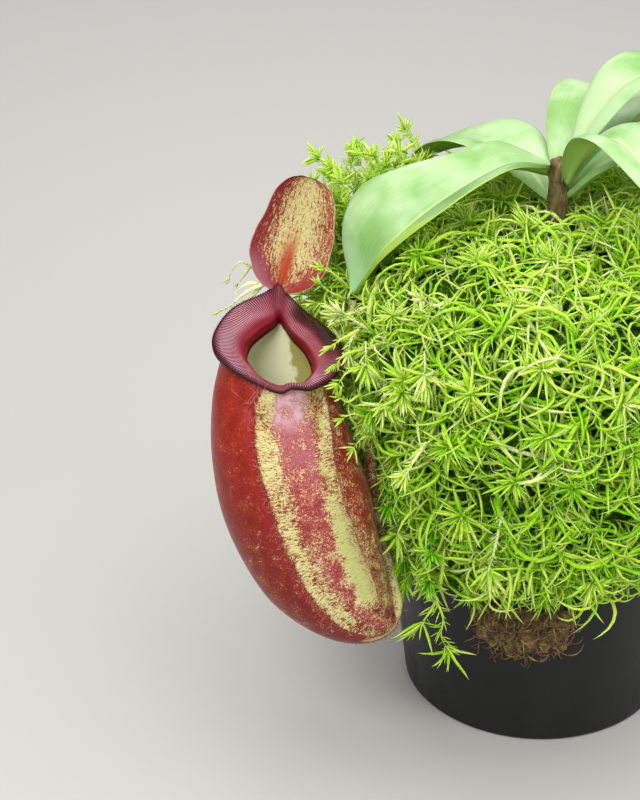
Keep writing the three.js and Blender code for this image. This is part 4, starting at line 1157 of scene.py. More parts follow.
# %% A tree that grows heads on a body
def heads_tree():
    """Heads of branches, scattered over a mesh where its mark grows is 1."""
    tree, given = new_tree(
        "moss_heads", Spacing="Float", Branches="Int", Length="Float", Width="Float", Spread="Float",
        Low="Float", High="Float", Tone="Float", First="Int", Last="Int", Seed="Int",
        Material="Material")
    heads = add(tree, "DistributePointsOnFaces", distribute_method="POISSON",
                Mesh=given["Mesh"], Distance_Min=given["Spacing"], Density_Max=2e5,
                Density_Factor=add(tree, "InputNamedAttribute", "grows"), Seed=given["Seed"])
    lift = add(tree, "VectorMath", heads.outputs["Normal"], operation="SCALE",
               Scale=add(tree, "RandomValue", given["Low"], given["High"], Seed=5))
    raised = add(tree, "SetPosition", Geometry=heads, Offset=lift)
    toned = add(tree, STORE, raised, None, "head_tone",
                add(tree, "RandomValue", given["Tone"], 1.0, Seed=6))
    sized = add(tree, STORE, toned, None, "head_size", add(tree, "RandomValue", 0.7, 1.3, Seed=7))
    copies = add(tree, "DuplicateElements", domain="POINT", Geometry=sized,
                 Amount=given["Branches"])
    number = copies.outputs["Duplicate Index"]
    age = add(tree, "Math", number, given["Branches"], operation="DIVIDE")
    any_tilt, any_turn, any_length = (
        add(tree, "RandomValue", *limits, Seed=seed)
        for limits, seed in (((0.05, 0.55), 8), ((0.0, 0.9), 9), ((0.4, 0.75), 10)))
    tilt = add(tree, "Math", age, given["Spread"], any_tilt, **PLUS_TIMES)
    turn = add(tree, "Math", number, GOLDEN_TURN, any_turn, **PLUS_TIMES)
    size = add(tree, "Math", add(tree, "InputNamedAttribute", "head_size"), given["Length"], **TIMES)
    aged = add(tree, "Math", age, 0.55, any_length, **PLUS_TIMES)
    points = add(tree, STORE, copies, None, "tone", add(tree, "RandomValue", 0.0, 1.0, Seed=11))
    grown = branches(
        tree, points, given["Width"], BRANCH_STEPS, given["First"], given["Last"], 12,
        leaning(tree, heads.outputs["Rotation"], tilt, turn), add(tree, "Math", aged, size, **TIMES))
    return finished_tree(tree, grown, given["Material"])


moss_heads = heads_tree()


# %% A tree that grows stems along lines
def stems_tree():
    """Stems along the edges of a mesh, with branches all the way and a head at the end."""
    tree, given = new_tree(
        "moss_stems", Step="Float", Length="Float", Width="Float", Tilt="Float", Heads="Float",
        Thickness="Float", Tone="Float", Seed="Int", Material="Material")
    factor = add(tree, "SplineParameter")
    lines = add(tree, "MeshToCurve", given["Mesh"])
    lines = add(tree, STORE, lines, None, "head_tone", given["Tone"])
    lines = add(tree, STORE, lines, None, "share", factor)
    spots = add(tree, "CurveToPoints", Curve=lines, Length=given["Step"], mode="LENGTH")
    at_tip = add(tree, "MapRange", add(tree, "InputNamedAttribute", "share"), 0.86, 1.0, **EASED)
    copies = add(tree, "DuplicateElements", domain="POINT", Geometry=spots,
                 Amount=add(tree, "Math", at_tip, given["Heads"], 2.0, **PLUS_TIMES))
    up_at_tip = add(tree, "Math", at_tip, add(tree, "RandomValue", -0.9, 0.4, Seed=31), **TIMES)
    off_stem = add(tree, "Math", given["Tilt"], add(tree, "RandomValue", 0.6, 1.3, Seed=32), **TIMES)
    tilt = add(tree, "Math", up_at_tip, 1.0, off_stem, **PLUS_TIMES)
    turned = leaning(tree, spots.outputs["Rotation"], tilt,
                     add(tree, "RandomValue", 0.0, FULL_TURN, Seed=33))
    longer = add(tree, "Math", at_tip, 0.5, 0.5, **PLUS_TIMES)
    longer = add(tree, "Math", longer, add(tree, "RandomValue", 0.5, 1.2, Seed=34), **TIMES)
    points = add(tree, STORE, copies, None, "tone", add(tree, "RandomValue", 0.0, 1.0, Seed=35))
    leaves = branches(tree, points, given["Width"], STEM_LEAF_STEPS, STRAIGHT, LAST_BEND, 36, turned,
                      add(tree, "Math", longer, given["Length"], **TIMES))
    thinner = add(tree, "Math", 1.05, add(tree, "Math", factor, 2.5, operation="POWER"),
                  operation="SUBTRACT")
    stem = add(tree, STORE, lines, None, "tone", given["Tone"])
    stem = add(tree, STORE, stem, None, "along", factor)
    stem = add(tree, "CurveToMesh", stem, add(tree, "CurvePrimitiveCircle", STEM_SIDES, 1.0),
               Scale=add(tree, "Math", given["Thickness"], thinner, **TIMES))
    both = add(tree, "JoinGeometry", leaves)
    give(both, {0: stem})
    return finished_tree(tree, both, given["Material"])


moss_stems = stems_tree()


def grown(tree, mesh, **values):
    """The mesh that a tree grows on a mesh, with values for the tree's named inputs."""
    carrier = bpy.data.objects.new("carrier", mesh)
    bpy.context.scene.collection.objects.link(carrier)
    modifier = carrier.modifiers.new("grow", "NODES")
    modifier.node_group = tree
    for socket in tree.interface.items_tree:
        if socket.in_out == "INPUT" and socket.name in values:
            modifier[socket.identifier] = values[socket.name]
    made = bpy.data.meshes.new_from_object(carrier.evaluated_get(bpy.context.evaluated_depsgraph_get()))
    carrier.modifiers.remove(modifier)
    bpy.data.objects.remove(carrier)
    made.shade_smooth()
    return made


# %% [markdown]
# A branch is translucent and yellow green, paler towards its tip, and tiny leaves make it matte. Its
# foot is darkened with painted shade for the depth of the cushion, and higher up the moss is painted
# paler as painted light. Heads differ in how much light they had, so each head has its own tone
# besides that of each branch.

# %% Moss skin
moss_skin, tree, shader = finish(
    "live_sphagnum", Roughness=0.6, Specular_IOR_Level=0.15, Subsurface_Weight=0.35,
    Subsurface_Scale=0.002, Subsurface_Radius=(1.0, 1.0, 0.25))
spot = add(tree, "TexCoord").outputs["Object"]
along, tone, head_tone = (
    add(tree, "Attribute", attribute_name=mark).outputs["Fac"]
    for mark in ("along", "tone", "head_tone"))
height = add(tree, "SeparateXYZ", spot).outputs["Z"]
# painted light: the moss is paler higher up
painted_top_light = add(tree, "MapRange", height, 0.12, 0.21, 0.0, 0.12)
tones = add(tree, "Math", head_tone, 0.5, painted_top_light, **PLUS_TIMES)
tones = add(tree, "Math", tone, 0.5, tones, **PLUS_TIMES)
colour = add(tree, "ValToRGB", tones, stops=[
    (0.05, "#4ea600"), (0.3, "#8cd610"), (0.55, "#b6e832"), (0.78, "#d4f25e"), (0.93, "#e6f68c"),
    (1.0, "#f6f8b8")])
colour = add(tree, "Mix", add(tree, "MapRange", along, 0.5, 1.0, 0.0, 0.55, **EASED), colour, "#e2f290")
# painted shade at each branch's foot, for the depth of the cushion
foot_shade = add(tree, "MapRange", along, 0.0, 0.4, 0.15, 0.0, **EASED)
colour = add(tree, "Mix", foot_shade, colour, "#6c9c48", **TINTED)
leaves = add(tree, "TexNoise", Vector=spot, Scale=1500.0, Detail=1.0)
shade = add(tree, "MapRange", leaves, 0.42, 0.62, 0.0, 0.4)
give(shader, {"Base Color": add(tree, "Mix", shade, colour, "#86b448", **TINTED)})
print("moss tones:", len(colour.id_data.nodes), "nodes")

# %% [markdown]
# The shoots of a real cushion part where something presses on it. So each grown mesh is tested against
# the trap, its lid and its leaf, and the branches that would run through one of them are left out.

# %% Shoots over the cushion and the clumps
POINTS_A_BRANCH = (BRANCH_STEPS + 1) * BRANCH_SIDES
SHOOTS = {"Spacing": 6.1 * MM, "Branches": 10, "Length": 21.5 * MM, "Width": 0.037, "Spread": 1.6,
          "Low": 0 * MM, "High": 7.5 * MM, "Tone": 0.2, "First": 0, "Last": LAST_BEND}
STARS = {"Spacing": 21 * MM, "Branches": 28, "Length": 10.5 * MM, "Width": 0.062, "Spread": 1.35,
         "Low": 10.5 * MM, "High": 13.5 * MM, "Tone": 0.1, "First": STRAIGHT, "Last": LAST_BEND}


def solid_tree(rows):
    """A skin to test branches against, from its rows of points in mm."""
    faces = grid_faces(*rows.shape[:2], False)[0]
    return BVHTree.FromPolygons((rows.reshape(-1, 3) * MM).tolist(), faces.tolist())


obstacles = [solid_tree(rows) for rows in (
    from_trap(outside[::3, ::3]), lid_rows[::3, ::3], leaf_rows[::3, ::2], rows_of_lip[::4, ::24])]
leaf_solid = obstacles[2]


def runs_into(start, end):
    """Whether something stands in the way from start to end."""
    way = end - start
    return any(tree.ray_cast(start, way.normalized(), way.length)[0] is not None for tree in obstacles)


def pruned(mesh):
    """The mesh without the branches that run through the trap, its lid or its leaf."""
    rings = points_of(mesh).reshape(-1, BRANCH_STEPS + 1, BRANCH_SIDES, 3).mean(2)
    doomed = in_cup(rings[:, 0] / MM, 1.0)
    for branch in np.flatnonzero(~doomed):
        foot, middle, tip = (Vector(rings[branch, k]) for k in (0, BRANCH_STEPS // 2, BRANCH_STEPS))
        doomed[branch] = runs_into(foot, middle) or runs_into(middle, tip)
    work = bmesh.new()
    work.from_mesh(mesh)
    work.verts.ensure_lookup_table()
    gone = [work.verts[i] for i in np.flatnonzero(np.repeat(doomed, POINTS_A_BRANCH))]
    bmesh.ops.delete(work, geom=gone, context="VERTS")
    work.to_mesh(mesh)
    work.free()
    return mesh


def grow_moss(name, body, mask, node, **values):
    """Grows heads on a body where the mask is 1, prunes them and puts them in place."""
    mesh = body.copy()
    thinned = np.clip(0.8 + 0.7 * lumps(points_of(mesh) / MM, PATCH_SIZE), 0.25, 1)
    mark_points(mesh, "grows", mask.ravel() * thinned)
    made = pruned(grown(moss_heads, mesh, Material=moss_skin, **values))
    bpy.data.meshes.remove(mesh)
    place(name, made, moss_skin, "live_moss", node)


grows = on_top & (profile_radius > 9)
for sector in range(4):
    in_sector = (azimuths >= 90 * sector) & (azimuths < 90 * (sector + 1))
    grow_moss(f"moss_cushion_shoots_{sector + 1}", cushion_mesh, grows & in_sector[None],
              "moss_cushion", Seed=20 + sector, **SHOOTS)
grow_moss("moss_cushion_stars", cushion_mesh, grows & (azimuths[None] >= 0), "moss_cushion",
          Seed=30, **STARS)
for i, mesh in enumerate(clump_meshes, 1):
    clump, first = f"moss_clump_{i}", 15 if i in (3, 4) else 12  # the first point that shoots grow on
    mask = np.arange(len(mesh.vertices) - 2) % CLUMP_POINTS >= first
    mask = np.concatenate([mask, [False, False]])
    grow_moss(f"{clump}_shoots", mesh, mask, clump, Seed=40 + i, **SHOOTS)
    grow_moss(f"{clump}_stars", mesh, mask, clump, Seed=60 + i, **STARS)

# %% [markdown]
# Some shoots leave the crowd: tufts behind the leaf and the lid, strays that reach round the trap, a
# few that lie over its right edge, and stems that hang down beside the pot with a head at the end.
# Their lines are drawn one by one where the photograph shows them, and by a rule where it shows many.

# %% Lines drawn one by one, in mm
STRAYS = [  # left of the lid and the collar
    [(-107.3, -6, 186.9), (-115, -9, 192.4), (-119.5, -12, 198.2), (-123, -13, 200.5),
     (-125.7, -13, 197.9), (-127.7, -14, 194.5)],
    [(-119.5, -12, 198.2), (-121.9, -12, 194.3), (-124.3, -12, 190.8)],
    [(-107.8, -20, 196.2), (-113.1, -24, 196.5), (-118.4, -27, 195.9), (-123, -29, 193.5),
     (-126.9, -30, 190.1), (-131.1, -31, 188.1)],
    [(-114.6, -24, 196.1), (-118.5, -26, 192.4), (-122.7, -27, 189.9)],
    [(-116.2, -24, 197), (-119.9, -26, 197.6), (-123.8, -27, 195.5)],
]
OVER_TRAP = [  # over the trap's right edge and the lid's foot
    [(-78, -52, 191.5), (-81.1, -60, 193.7), (-84.9, -66, 194.9), (-87.9, -68, 193.4)],
    [(-76.5, -54, 184.1), (-80.4, -62, 187.6), (-83.8, -68, 189.2), (-86.4, -70, 186.9)],
    [(-75.3, -56, 175.7), (-79.6, -64, 181), (-83, -69, 182.1), (-85.6, -71, 179)],
    [(-74.1, -58, 165.5), (-78.1, -66, 171), (-81.9, -70, 170.7), (-84.9, -72, 173.6)],
    [(-72.6, -60, 157), (-76.5, -66, 162.3), (-80.3, -70, 165.5), (-83.3, -72, 165)],
    [(-70.9, -60, 149.1), (-74.1, -66, 153.5), (-77.2, -70, 154.2), (-79.5, -72, 151.9)],
    [(-82.6, -22, 188.6), (-85.4, -27, 192.9), (-88.5, -30, 196.2), (-91.5, -31, 199.3)],
    [(-82.3, -20, 194.1), (-85.4, -25, 199.6), (-88.1, -28, 203.7), (-90.8, -29, 205.1)],
    [(-83.8, -24, 183.1), (-87.7, -29, 188.8), (-90.8, -32, 192.1), (-93.8, -33, 193)],
    [(-81.5, -26, 182.8), (-85.4, -32, 184.3), (-88.9, -36, 184.7), (-91.5, -38, 182.3)],
]
DANGLING = [  # beside the pot, below the front clumps
    [(-51.8, -68, 98.5), (-49.5, -72, 91.8), (-47, -74, 83.8), (-44.1, -75, 75.9), (-44.6, -74, 66.5),
     (-41.6, -73, 59)],
    [(-47, -74, 83.8), (-49.3, -75, 78.8), (-52.3, -75, 74)],
]
FRONDS = [  # bleached shoots on top of the others
    [(-70.9, -40, 182.5), (-77.9, -44, 190.2), (-84.4, -46, 195.1)],
    [(-74, -34, 191.8), (-80.2, -40, 192.4), (-85.5, -44, 193.2)],
    [(-77.1, -40, 185.1), (-80.2, -46, 184.9), (-81.7, -50, 181)],
    [(-53.1, -84, 161.3), (-56.6, -90, 159.3), (-60.6, -93, 153.4)],
    [(-43, -50, 203.2), (-49.2, -56, 203.8), (-54.7, -60, 208.4)],
    [(-23, -79, 128), (-25.5, -84, 117), (-27.7, -84, 104.6)],
]
PALE_HEADS = [(-53.7, -76, 185.7), (-75.1, -60, 180.9), (-68.3, -68, 168.3), (-61.8, -70, 175),
              (-27.7, -84, 104.6), (-61.9, -62, 107.1)]
VIVID_HEADS = [(-73.1, -64, 163.3), (-65.9, -60, 118.8), (-49.8, -78, 109.4), (-50.3, -72, 91.3)]
print("drawn lines:", sum(map(len, (STRAYS, OVER_TRAP, DANGLING, FRONDS, PALE_HEADS, VIVID_HEADS))))

# %% Lines by a rule
dice = np.random.default_rng(11)


def clear_of_leaf(lines):
    """The lines that stay at least 6 mm from the trap's leaf."""
    return [line for line in lines if all(
        leaf_solid.find_nearest(Vector(point) * MM)[3] > 6 * MM
        for point in curve(line)(np.linspace(0, 1, 12)))]


def anywhere(*ranges):
    """A spot between limits of x, y and z."""
    return np.array([dice.uniform(low, high) for low, high in ranges])


def arch(foot, tip, height):
    """A line from foot to tip over an arch."""
    return [foot, (foot + tip) / 2 + [0, 0, height], tip]


def tufts(count, start, end, low, high):
    """Upright lines from the cushion between two directions round the pot."""
    lines = []
    for _ in range(count):
        azimuth, rise = dice.uniform(start, end), dice.uniform(low, high)
        foot = around_pot(dice.uniform(60, 84), azimuth, MOSS_TOP - dice.uniform(8, 20))
        lean = dice.normal(0, 0.3, 2)
        lines.append([foot, foot + [lean[0] * rise * 0.2, lean[1] * rise * 0.2, rise * 0.5],
                      foot + [lean[0] * rise, lean[1] * rise, rise]])
    return clear_of_leaf(lines)


def hanging(count, start, end, low, high):
    """Lines that hang from the rim's moss over the pot's wall between two directions round it."""
    lines = []
    for _ in range(count):
        azimuth, foot = dice.uniform(start, end), dice.uniform(low, high)
        sway = dice.uniform(-6, 6)
        heights = np.array([134, (134 + foot) / 2 + 6, (134 + foot) / 2 - 12, foot])
        off_wall = (9, 10 + dice.uniform(0, 4), 7 + dice.uniform(0, 4), 5)
        lines.append([around_pot(pot_wall(z) + gap, azimuth + sway * share, z)
                      for z, gap, share in zip(heights, off_wall, (0, 0.4, 0.8, 1))])
    return lines


between_lid_and_leaf, beside_tendril, behind_neck = [], [], []
for _ in range(44):
    foot, lean = anywhere((-88, -80), (3, 24), (170, 205)), dice.normal(0, 0.2, 2)
    rise = dice.uniform(12, 30)
    between_lid_and_leaf.append([
        foot, foot + [lean[0] * rise * 0.4, lean[1] * rise * 0.3, rise * 0.6],
        foot + [lean[0] * rise, lean[1] * rise - 2, rise]])
for height in np.linspace(166, 84, 40):
    azimuth, reach = dice.uniform(214, 231), dice.uniform(77, 86)
    beside_tendril.append(arch(
        around_pot(reach - 14, azimuth + 4, height + 16), around_pot(reach, azimuth, height), 4))
for _ in range(26):
    behind_neck.append(arch(anywhere((-84, -78), (-8, 6), (170, 186)),
                            anywhere((-101, -88), (-14, -4), (182, 197)), dice.uniform(2, 6)))
heads = {name: [[np.array(spot) + (0, 9, 5), np.array(spot) + (0, 4, 3), spot] for spot in spots]
         for name, spots in (("pale", PALE_HEADS), ("vivid", VIVID_HEADS))}
print("ruled lines:", len(between_lid_and_leaf + beside_tendril + behind_neck))

# %% Stray shoots, tufts and hanging stems
LEAFY = {"Step": 1.3 * MM, "Length": 7.5 * MM, "Width": 0.09, "Tilt": 1.0, "Heads": 6.0,
         "Thickness": 0.4 * MM}
SMOOTH = {"Step": 1.8 * MM, "Length": 3.4 * MM, "Width": 0.14, "Tilt": 0.35, "Heads": 0.0,
          "Thickness": 1.05 * MM}
STARRED = {**LEAFY, "Length": 10.5 * MM, "Width": 0.055, "Heads": 16.0}
SPARSE = {"Step": 2.6 * MM, "Length": 13 * MM, "Width": 0.05, "Tilt": 1.1, "Heads": 7.0,
          "Thickness": 0.55 * MM}
HEADED = {**LEAFY, "Length": 9 * MM, "Width": 0.075, "Heads": 26.0}
REACHING = {**SMOOTH, "Length": 6 * MM, "Width": 0.08, "Tilt": 0.8, "Heads": 6.0, "Thickness": 0.7 * MM}
BLEACHED = {**LEAFY, "Length": 8 * MM, "Tilt": 0.7, "Heads": 12.0, "Thickness": 0.7 * MM}
CUSHION, FRONT_LEFT, FRONT, BACK = "moss_cushion", "moss_clump_2", "moss_clump_3", "moss_clump_6"
STEMS = [  # name, lines, the part it stands for, tone, seed, kind of stem
    ("strays", STRAYS, CUSHION, 1.0, 1, {**SMOOTH, "Thickness": 0.8 * MM}),
    ("behind_neck", behind_neck, CUSHION, 0.45, 9, SMOOTH),
    ("over_trap", OVER_TRAP, CUSHION, 0.7, 2, REACHING),
    ("between_lid_and_leaf", clear_of_leaf(between_lid_and_leaf), CUSHION, 0.5, 7, LEAFY),
    ("beside_tendril", beside_tendril, FRONT_LEFT, 0.4, 8, STARRED),
    ("tufts", tufts(26, 156, 177, 14, 32) + tufts(16, 130, 158, 12, 26), CUSHION, 0.6, 3, LEAFY),
    ("hanging_left", hanging(14, 208, 232, 82, 112), FRONT_LEFT, 0.35, 4, STARRED),
    ("hanging_front", hanging(8, 236, 300, 78, 100), FRONT, 0.5, 5, STARRED),
    ("pale_heads", heads["pale"], CUSHION, 0.95, 12, {**HEADED, "Length": 11 * MM}),
    ("vivid_heads", heads["vivid"], CUSHION, 0.05, 13, HEADED),
    ("fronds", FRONDS, CUSHION, 1.2, 14, BLEACHED),
    ("dangling", DANGLING, FRONT, 0.7, 10, SPARSE),
    ("hanging_back", hanging(22, 300, 515, 74, 100), BACK, 0.5, 6, STARRED),
]
for name, lines, node, tone, seed, kind in STEMS:
    points, edges = [], []
    for line in lines:
        smooth = curve(line)(np.linspace(0, 1, 4 * len(line)))
        edges += [(len(points) + i, len(points) + i + 1) for i in range(len(smooth) - 1)]
        points += smooth.tolist()
    mesh = bpy.data.meshes.new("lines")
    mesh.from_pydata((np.array(points) * MM).tolist(), edges, [])
    made = grown(moss_stems, mesh, Material=moss_skin, Tone=tone, Seed=seed, **kind)
    bpy.data.meshes.remove(mesh)
    place(f"moss_{name}", made, moss_skin, "live_moss", node)

# %% [markdown]
# ## Bristles
#
# Reddish bristles stand on the two ridges of the cup, finer ones on its foot, and a few long ones just
# under the collar. The cup's skin is marked where they grow, and one tree scatters them there. They
# are dead stiff hairs, dark at the foot and bleached towards the tip, so they catch the light there.

# %% Bristles on the cup
def bristles_tree():
    """Thin bent bristles, scattered over a mesh by the mark that Where names."""
    tree, given = new_tree("bristles", Where="String", Density="Float", Length="Float", Width="Float",
                           Seed="Int", Material="Material")
    mark = add(tree, "InputNamedAttribute", given["Where"])
    roots = add(tree, "DistributePointsOnFaces", distribute_method="RANDOM", Mesh=given["Mesh"],
                Seed=given["Seed"], Density=add(tree, "Math", mark, given["Density"], **TIMES))
    turned = leaning(tree, roots.outputs["Rotation"], add(tree, "RandomValue", 0.3, 1.15, Seed=51),
                     add(tree, "RandomValue", 0.0, FULL_TURN, Seed=52))
    along = add(tree, "SplineParameter")
    line = bend(tree, (0, 0.06, 0.3), (0, 0.02, 0.7), (0, -0.2, 0.95), 8, 4, along)
    thinner = add(tree, "Math", 1.05, along, operation="SUBTRACT")
    bristle = add(tree, "CurveToMesh", line, add(tree, "CurvePrimitiveCircle", BRANCH_SIDES, 1.0),
                  Scale=add(tree, "Math", given["Width"], thinner, **TIMES))
    length = add(tree, "Math", given["Length"], add(tree, "RandomValue", 0.45, 1.2, Seed=53), **TIMES)
    bristles = add(tree, "InstanceOnPoints", Points=roots, Instance=bristle, Rotation=turned,
                   Scale=length)
    return finished_tree(tree, bristles, given["Material"])


bristle_skin, tree, shader = finish("reddish_cup_bristles", Roughness=0.5, Specular_IOR_Level=0.3)
along = add(tree, "Attribute", attribute_name="along").outputs["Fac"]
give(shader, {"Base Color": add(tree, "Mix", along, "#8c2418", "#e8ac90")})
cup_bristles = bristles_tree()
for name, where, density, length, width, seed in (
        ("trap_ridge_bristles", "bristly", 2.4e6, 3 * MM, 0.042, 71),
        ("trap_long_bristles", "long_bristly", 6e5, 10 * MM, 0.019, 72)):
    made = grown(cup_bristles, cup_mesh, Material=bristle_skin, Where=where, Density=density,
                 Length=length, Width=width, Seed=seed)
    place(name, made, bristle_skin, "trap_skin", "trap_cup")

# %% [markdown]
# ## The pot
#
# The pot is a common nursery pot: injection moulded black plastic with a band round its rim and six
# drain holes. Its wall is a turned skin whose edges are rounded, and its floor is a flat shape with
# round holes, cut as an outline, because a turned skin can't have them. The mould leaves a fine grain
# on the plastic, and dust dulls it in patches, so its highlight is broad and uneven.

# %% Moulded plastic and the pot's wall
plastic, tree, shader = finish(
    "moulded_black_plastic", Roughness=0.42, IOR=1.49, Specular_IOR_Level=0.35)
spot = add(tree, "TexCoord").outputs["Object"]
moulding = add(tree, "TexNoise", Vector=spot, Scale=1300.0, Detail=3.0, Roughness=0.6)
runs = add(tree, "Mapping", Vector=spot, Scale=(1, 1, 0.25))
dust = add(tree, "TexNoise", Vector=runs, Scale=60.0, Detail=5.0, Roughness=0.7)
dusty = add(tree, "MapRange", dust, 0.45, 0.75, 0.0, 0.4)
give(shader, {"Base Color": add(tree, "Mix", dusty, "#0c0d0e", "#262520"),
              "Roughness": add(tree, "MapRange", dust, 0.4, 0.7, 0.34, 0.62),
              "Normal": add(tree, "Bump", Strength=0.15, Distance=0.0002, Height=moulding)})

POT_WALL, POT_FLOOR, HOLE_RADIUS, HOLE_CIRCLE, HOLES = 1.6, 2.4, 5.0, 36.0, 6
slope = (POT_TOP - POT_BASE) / POT_HEIGHT
band, rim = POT_HEIGHT - RIM_DEPTH, POT_TOP + RIM_STEP
under_band = pot_wall(band)
profile = [  # radius and height, up the outside and down the inside
    (POT_BASE - POT_WALL, 0.02), (POT_BASE - 0.6, 0), (POT_BASE - 0.05, 0.5), (POT_BASE + slope * 4, 4),
    (pot_wall(60), 60), (pot_wall(110), 110), (pot_wall(band - 2), band - 2),
    (pot_wall(band - 0.6), band - 0.6), (under_band + 0.5, band - 0.1),
    (under_band + RIM_STEP - 0.3, band), (under_band + RIM_STEP, band + 0.5),
    (rim - 0.1, POT_HEIGHT - 1), (rim - 0.4, POT_HEIGHT - 0.15), (POT_TOP + 0.6, POT_HEIGHT),
    (POT_TOP - POT_WALL + 0.4, POT_HEIGHT - 0.1), (POT_TOP - POT_WALL, POT_HEIGHT - 0.8),
    (pot_wall(110) - POT_WALL, 110), (pot_wall(60) - POT_WALL, 60),
    (POT_BASE - POT_WALL + slope * 4, 4), (POT_BASE - POT_WALL, POT_FLOOR / 2),
]
outline = curve([(radius, 0, height) for radius, height in profile], closed=True)(np.arange(110) / 110)
pot_rows = around_pot(outline[:, :1], (np.arange(160) * 2.25)[None], outline[:, 2:])
place("pot_wall", skin("pot_wall", pot_rows, joined=True), plastic, "pot_plastic", "pot")

# %% The pot's drained floor
floor_outline = bpy.data.curves.new("pot_floor", "CURVE")
floor_outline.dimensions, floor_outline.fill_mode = "2D", "BOTH"
floor_outline.extrude = POT_FLOOR / 2 * MM
circles = [(0, 0, POT_BASE - POT_WALL - 0.05, 96)] + [
    (HOLE_CIRCLE * math.cos(a), HOLE_CIRCLE * math.sin(a), HOLE_RADIUS, 32)
    for a in (math.tau * k / HOLES for k in range(HOLES))]
for x, y, radius, count in circles:
    ring = floor_outline.splines.new("POLY")
    ring.points.add(count - 1)
    for k, point in enumerate(ring.points):
        a = math.tau * k / count
        point.co = ((x + radius * math.cos(a)) * MM, (y + radius * math.sin(a)) * MM, 0, 1)
    ring.use_cyclic_u = True
drawn = bpy.data.objects.new("pot_floor_outline", floor_outline)
floor_mesh = bpy.data.meshes.new_from_object(drawn)
bpy.data.objects.remove(drawn)
lifted = points_of(floor_mesh).astype(float)
lifted[:, 2] += POT_FLOOR / 2 * MM
floor_mesh.vertices.foreach_set("co", lifted.ravel())
place("pot_floor", floor_mesh, plastic, "pot_plastic", "pot")

# %% [markdown]
# ## Dead moss, growing mix and roots
#
# Below the live moss hangs a wisp of dead sphagnum: dry, brown, stringy and quite dull. The mix of
# bark, perlite and chopped moss, and the roots in it, keep the solid model's shapes, since they only
# show from below the moss, and get their own finishes: matt chips among which white perlite stands
# out, and roots covered in fine black hair.

# %% Dead moss
DEAD_FROM, DEAD_TO, DEAD_TOP, DEAD_FOOT = 243, 276, 73, 48
DEAD_POINTS, DEAD_OUTSIDE, DEAD_FIBRES_FROM = 22, 11, 9  # round a ring, and where its outside starts
dead_skin = grainy("dead_brown_sphagnum", 260.0, 4.0, 0.7, [
    (0.32, "#2e2214"), (0.5, "#6e5632"), (0.64, "#a08452"), (0.74, "#c4ad7c")], Roughness=0.85)
dead_rings = []
for share in np.linspace(0, 1, 25):
    low = DEAD_FOOT + 9 * abs(share - 0.5) + 1.2 * math.sin(31 * share)
    radius, height = even_steps([
        [pot_wall(DEAD_TOP) + 2 * GAP, DEAD_TOP], [pot_wall(low) + 2 * GAP, low],
        [pot_wall(low) + 2.2, low], [pot_wall(DEAD_TOP) + 4, DEAD_TOP]], DEAD_POINTS)
    radius[DEAD_OUTSIDE:-1] += 0.5 * np.sin(np.arange(10) * 1.9 + 40 * share)
    dead_rings.append(around_pot(radius, DEAD_FROM + (DEAD_TO - DEAD_FROM) * share, height))
dead_mesh = skin("dead_moss_body", dead_rings)
place("dead_moss_body", dead_mesh, dead_skin, "dead_moss", "dead_moss")
dead_source = dead_mesh.copy()
grows = np.arange(len(dead_mesh.vertices) - 2) % DEAD_POINTS >= DEAD_FIBRES_FROM
mark_points(dead_source, "grows", np.concatenate([grows, [False, False]]))
dead_fibres = grown(moss_heads, dead_source, Material=dead_skin, Seed=90, Spacing=3.4 * MM, Branches=7,
                    Length=11 * MM, Width=0.035, Spread=1.9)
bpy.data.meshes.remove(dead_source)
place("dead_moss_fibres", dead_fibres, dead_skin, "dead_moss", "dead_moss")

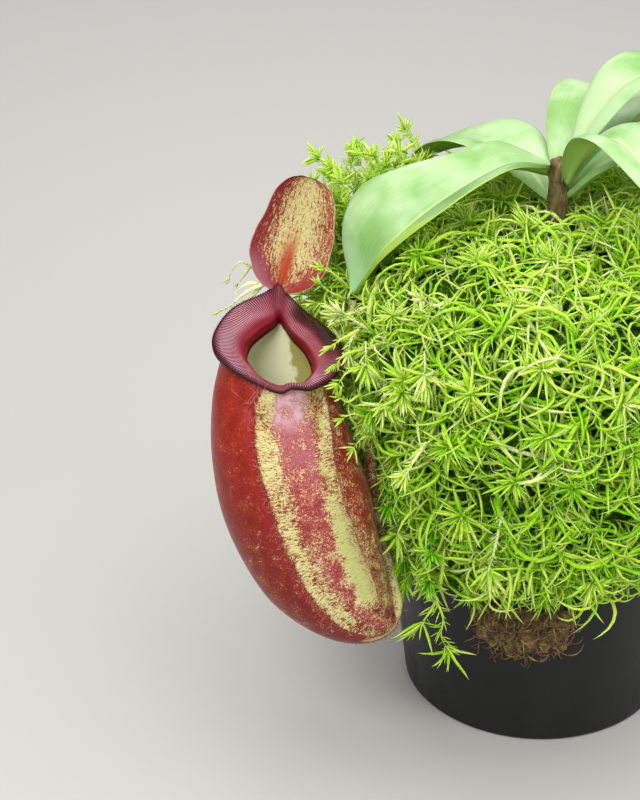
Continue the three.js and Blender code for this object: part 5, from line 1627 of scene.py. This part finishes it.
# %% Growing mix and roots
mix_skin, tree, shader = finish("bark_and_perlite_mix", Roughness=0.9)
spot = add(tree, "TexCoord").outputs["Object"]
chips = add(tree, "TexVoronoi", Vector=spot, Scale=190.0)
chip = add(tree, "SeparateXYZ", chips.outputs["Color"])
give(shader, {
    "Base Color": add(tree, "ValToRGB", chip, stops=[
        (0.0, "#2a1d12"), (0.35, "#4a3422"), (0.6, "#6f5434"), (0.86, "#5a432b"), (0.97, "#e4e0d4")]),
    "Normal": add(tree, "Bump", Strength=0.9, Distance=0.0015, Height=chips.outputs["Distance"])})
root_skin = grainy("black_root_hair", 900.0, 3.0, 0.7, [(0.35, "#0e0a07"), (0.7, "#33241a")],
                   Roughness=0.8)
for node, material in (("growing_mix", mix_skin), ("roots", root_skin)):
    nodes[node].data.materials.clear()
    nodes[node].data.materials.append(material)
    print(node, "keeps its solid, with", material.name)

# %% [markdown]
# ## Floor and light
#
# The plant is a product on a plain pale floor, which is matt so that it shows no highlight of its own.
# Large soft lights give leaves and wax their broad highlights: the main one is above the photographer's
# left, a weaker one fills from the right, and one behind draws the edges of the moss.

# %% Pale floor
HALF_FLOOR = 4  # metres
ground_plane = bpy.data.meshes.new("floor")
corners = ((-1, -1), (1, -1), (1, 1), (-1, 1))
ground_plane.from_pydata([(x * HALF_FLOOR, y * HALF_FLOOR, 0) for x, y in corners], [], [range(4)])
ground_plane.materials.append(finish("matte_pale_floor", Base_Color="#bdbbb6", Roughness=0.8)[0])
floor = bpy.data.objects.new("floor", ground_plane)
floor.location.z = -0.0005
bpy.context.scene.collection.objects.link(floor)
print("floor:", 2 * HALF_FLOOR, "m wide")

# %% Soft studio light
LIGHTS = {  # place in metres, what it points at, size in metres, watts
    "main_light": ((-0.5, -0.95, 1.1), (-0.06, -0.03, 0.15), 0.6, 13.0),
    "fill_light": ((0.95, -0.75, 0.5), (-0.03, -0.02, 0.12), 0.8, 5.0),
    "top_light": ((0.1, -0.1, 1.25), (-0.02, -0.02, 0.15), 1.1, 11.0),
    "back_light": ((-0.15, 0.9, 0.95), (0, 0, 0.15), 0.7, 5.0),
}
SURROUNDINGS, SURROUNDINGS_STRENGTH = "#e8ebee", 0.38
for name, (spot, aim, size, watts) in LIGHTS.items():
    light = bpy.data.lights.new(name, "AREA")
    light.size, light.energy = size, watts
    lamp = bpy.data.objects.new(name, light)
    lamp.location = spot
    x, y, z = np.array(aim) - np.array(spot)
    lamp.rotation_euler = (math.atan2(math.hypot(x, y), -z), 0, math.atan2(-x, y))
    bpy.context.scene.collection.objects.link(lamp)

world = bpy.data.worlds.new("soft_surroundings")
world.use_nodes = True
give(world.node_tree.nodes["Background"], {"Color": SURROUNDINGS, "Strength": SURROUNDINGS_STRENGTH})
bpy.context.scene.world = world
bpy.context.scene.view_settings.view_transform = "Standard"
print("lights:", *LIGHTS)
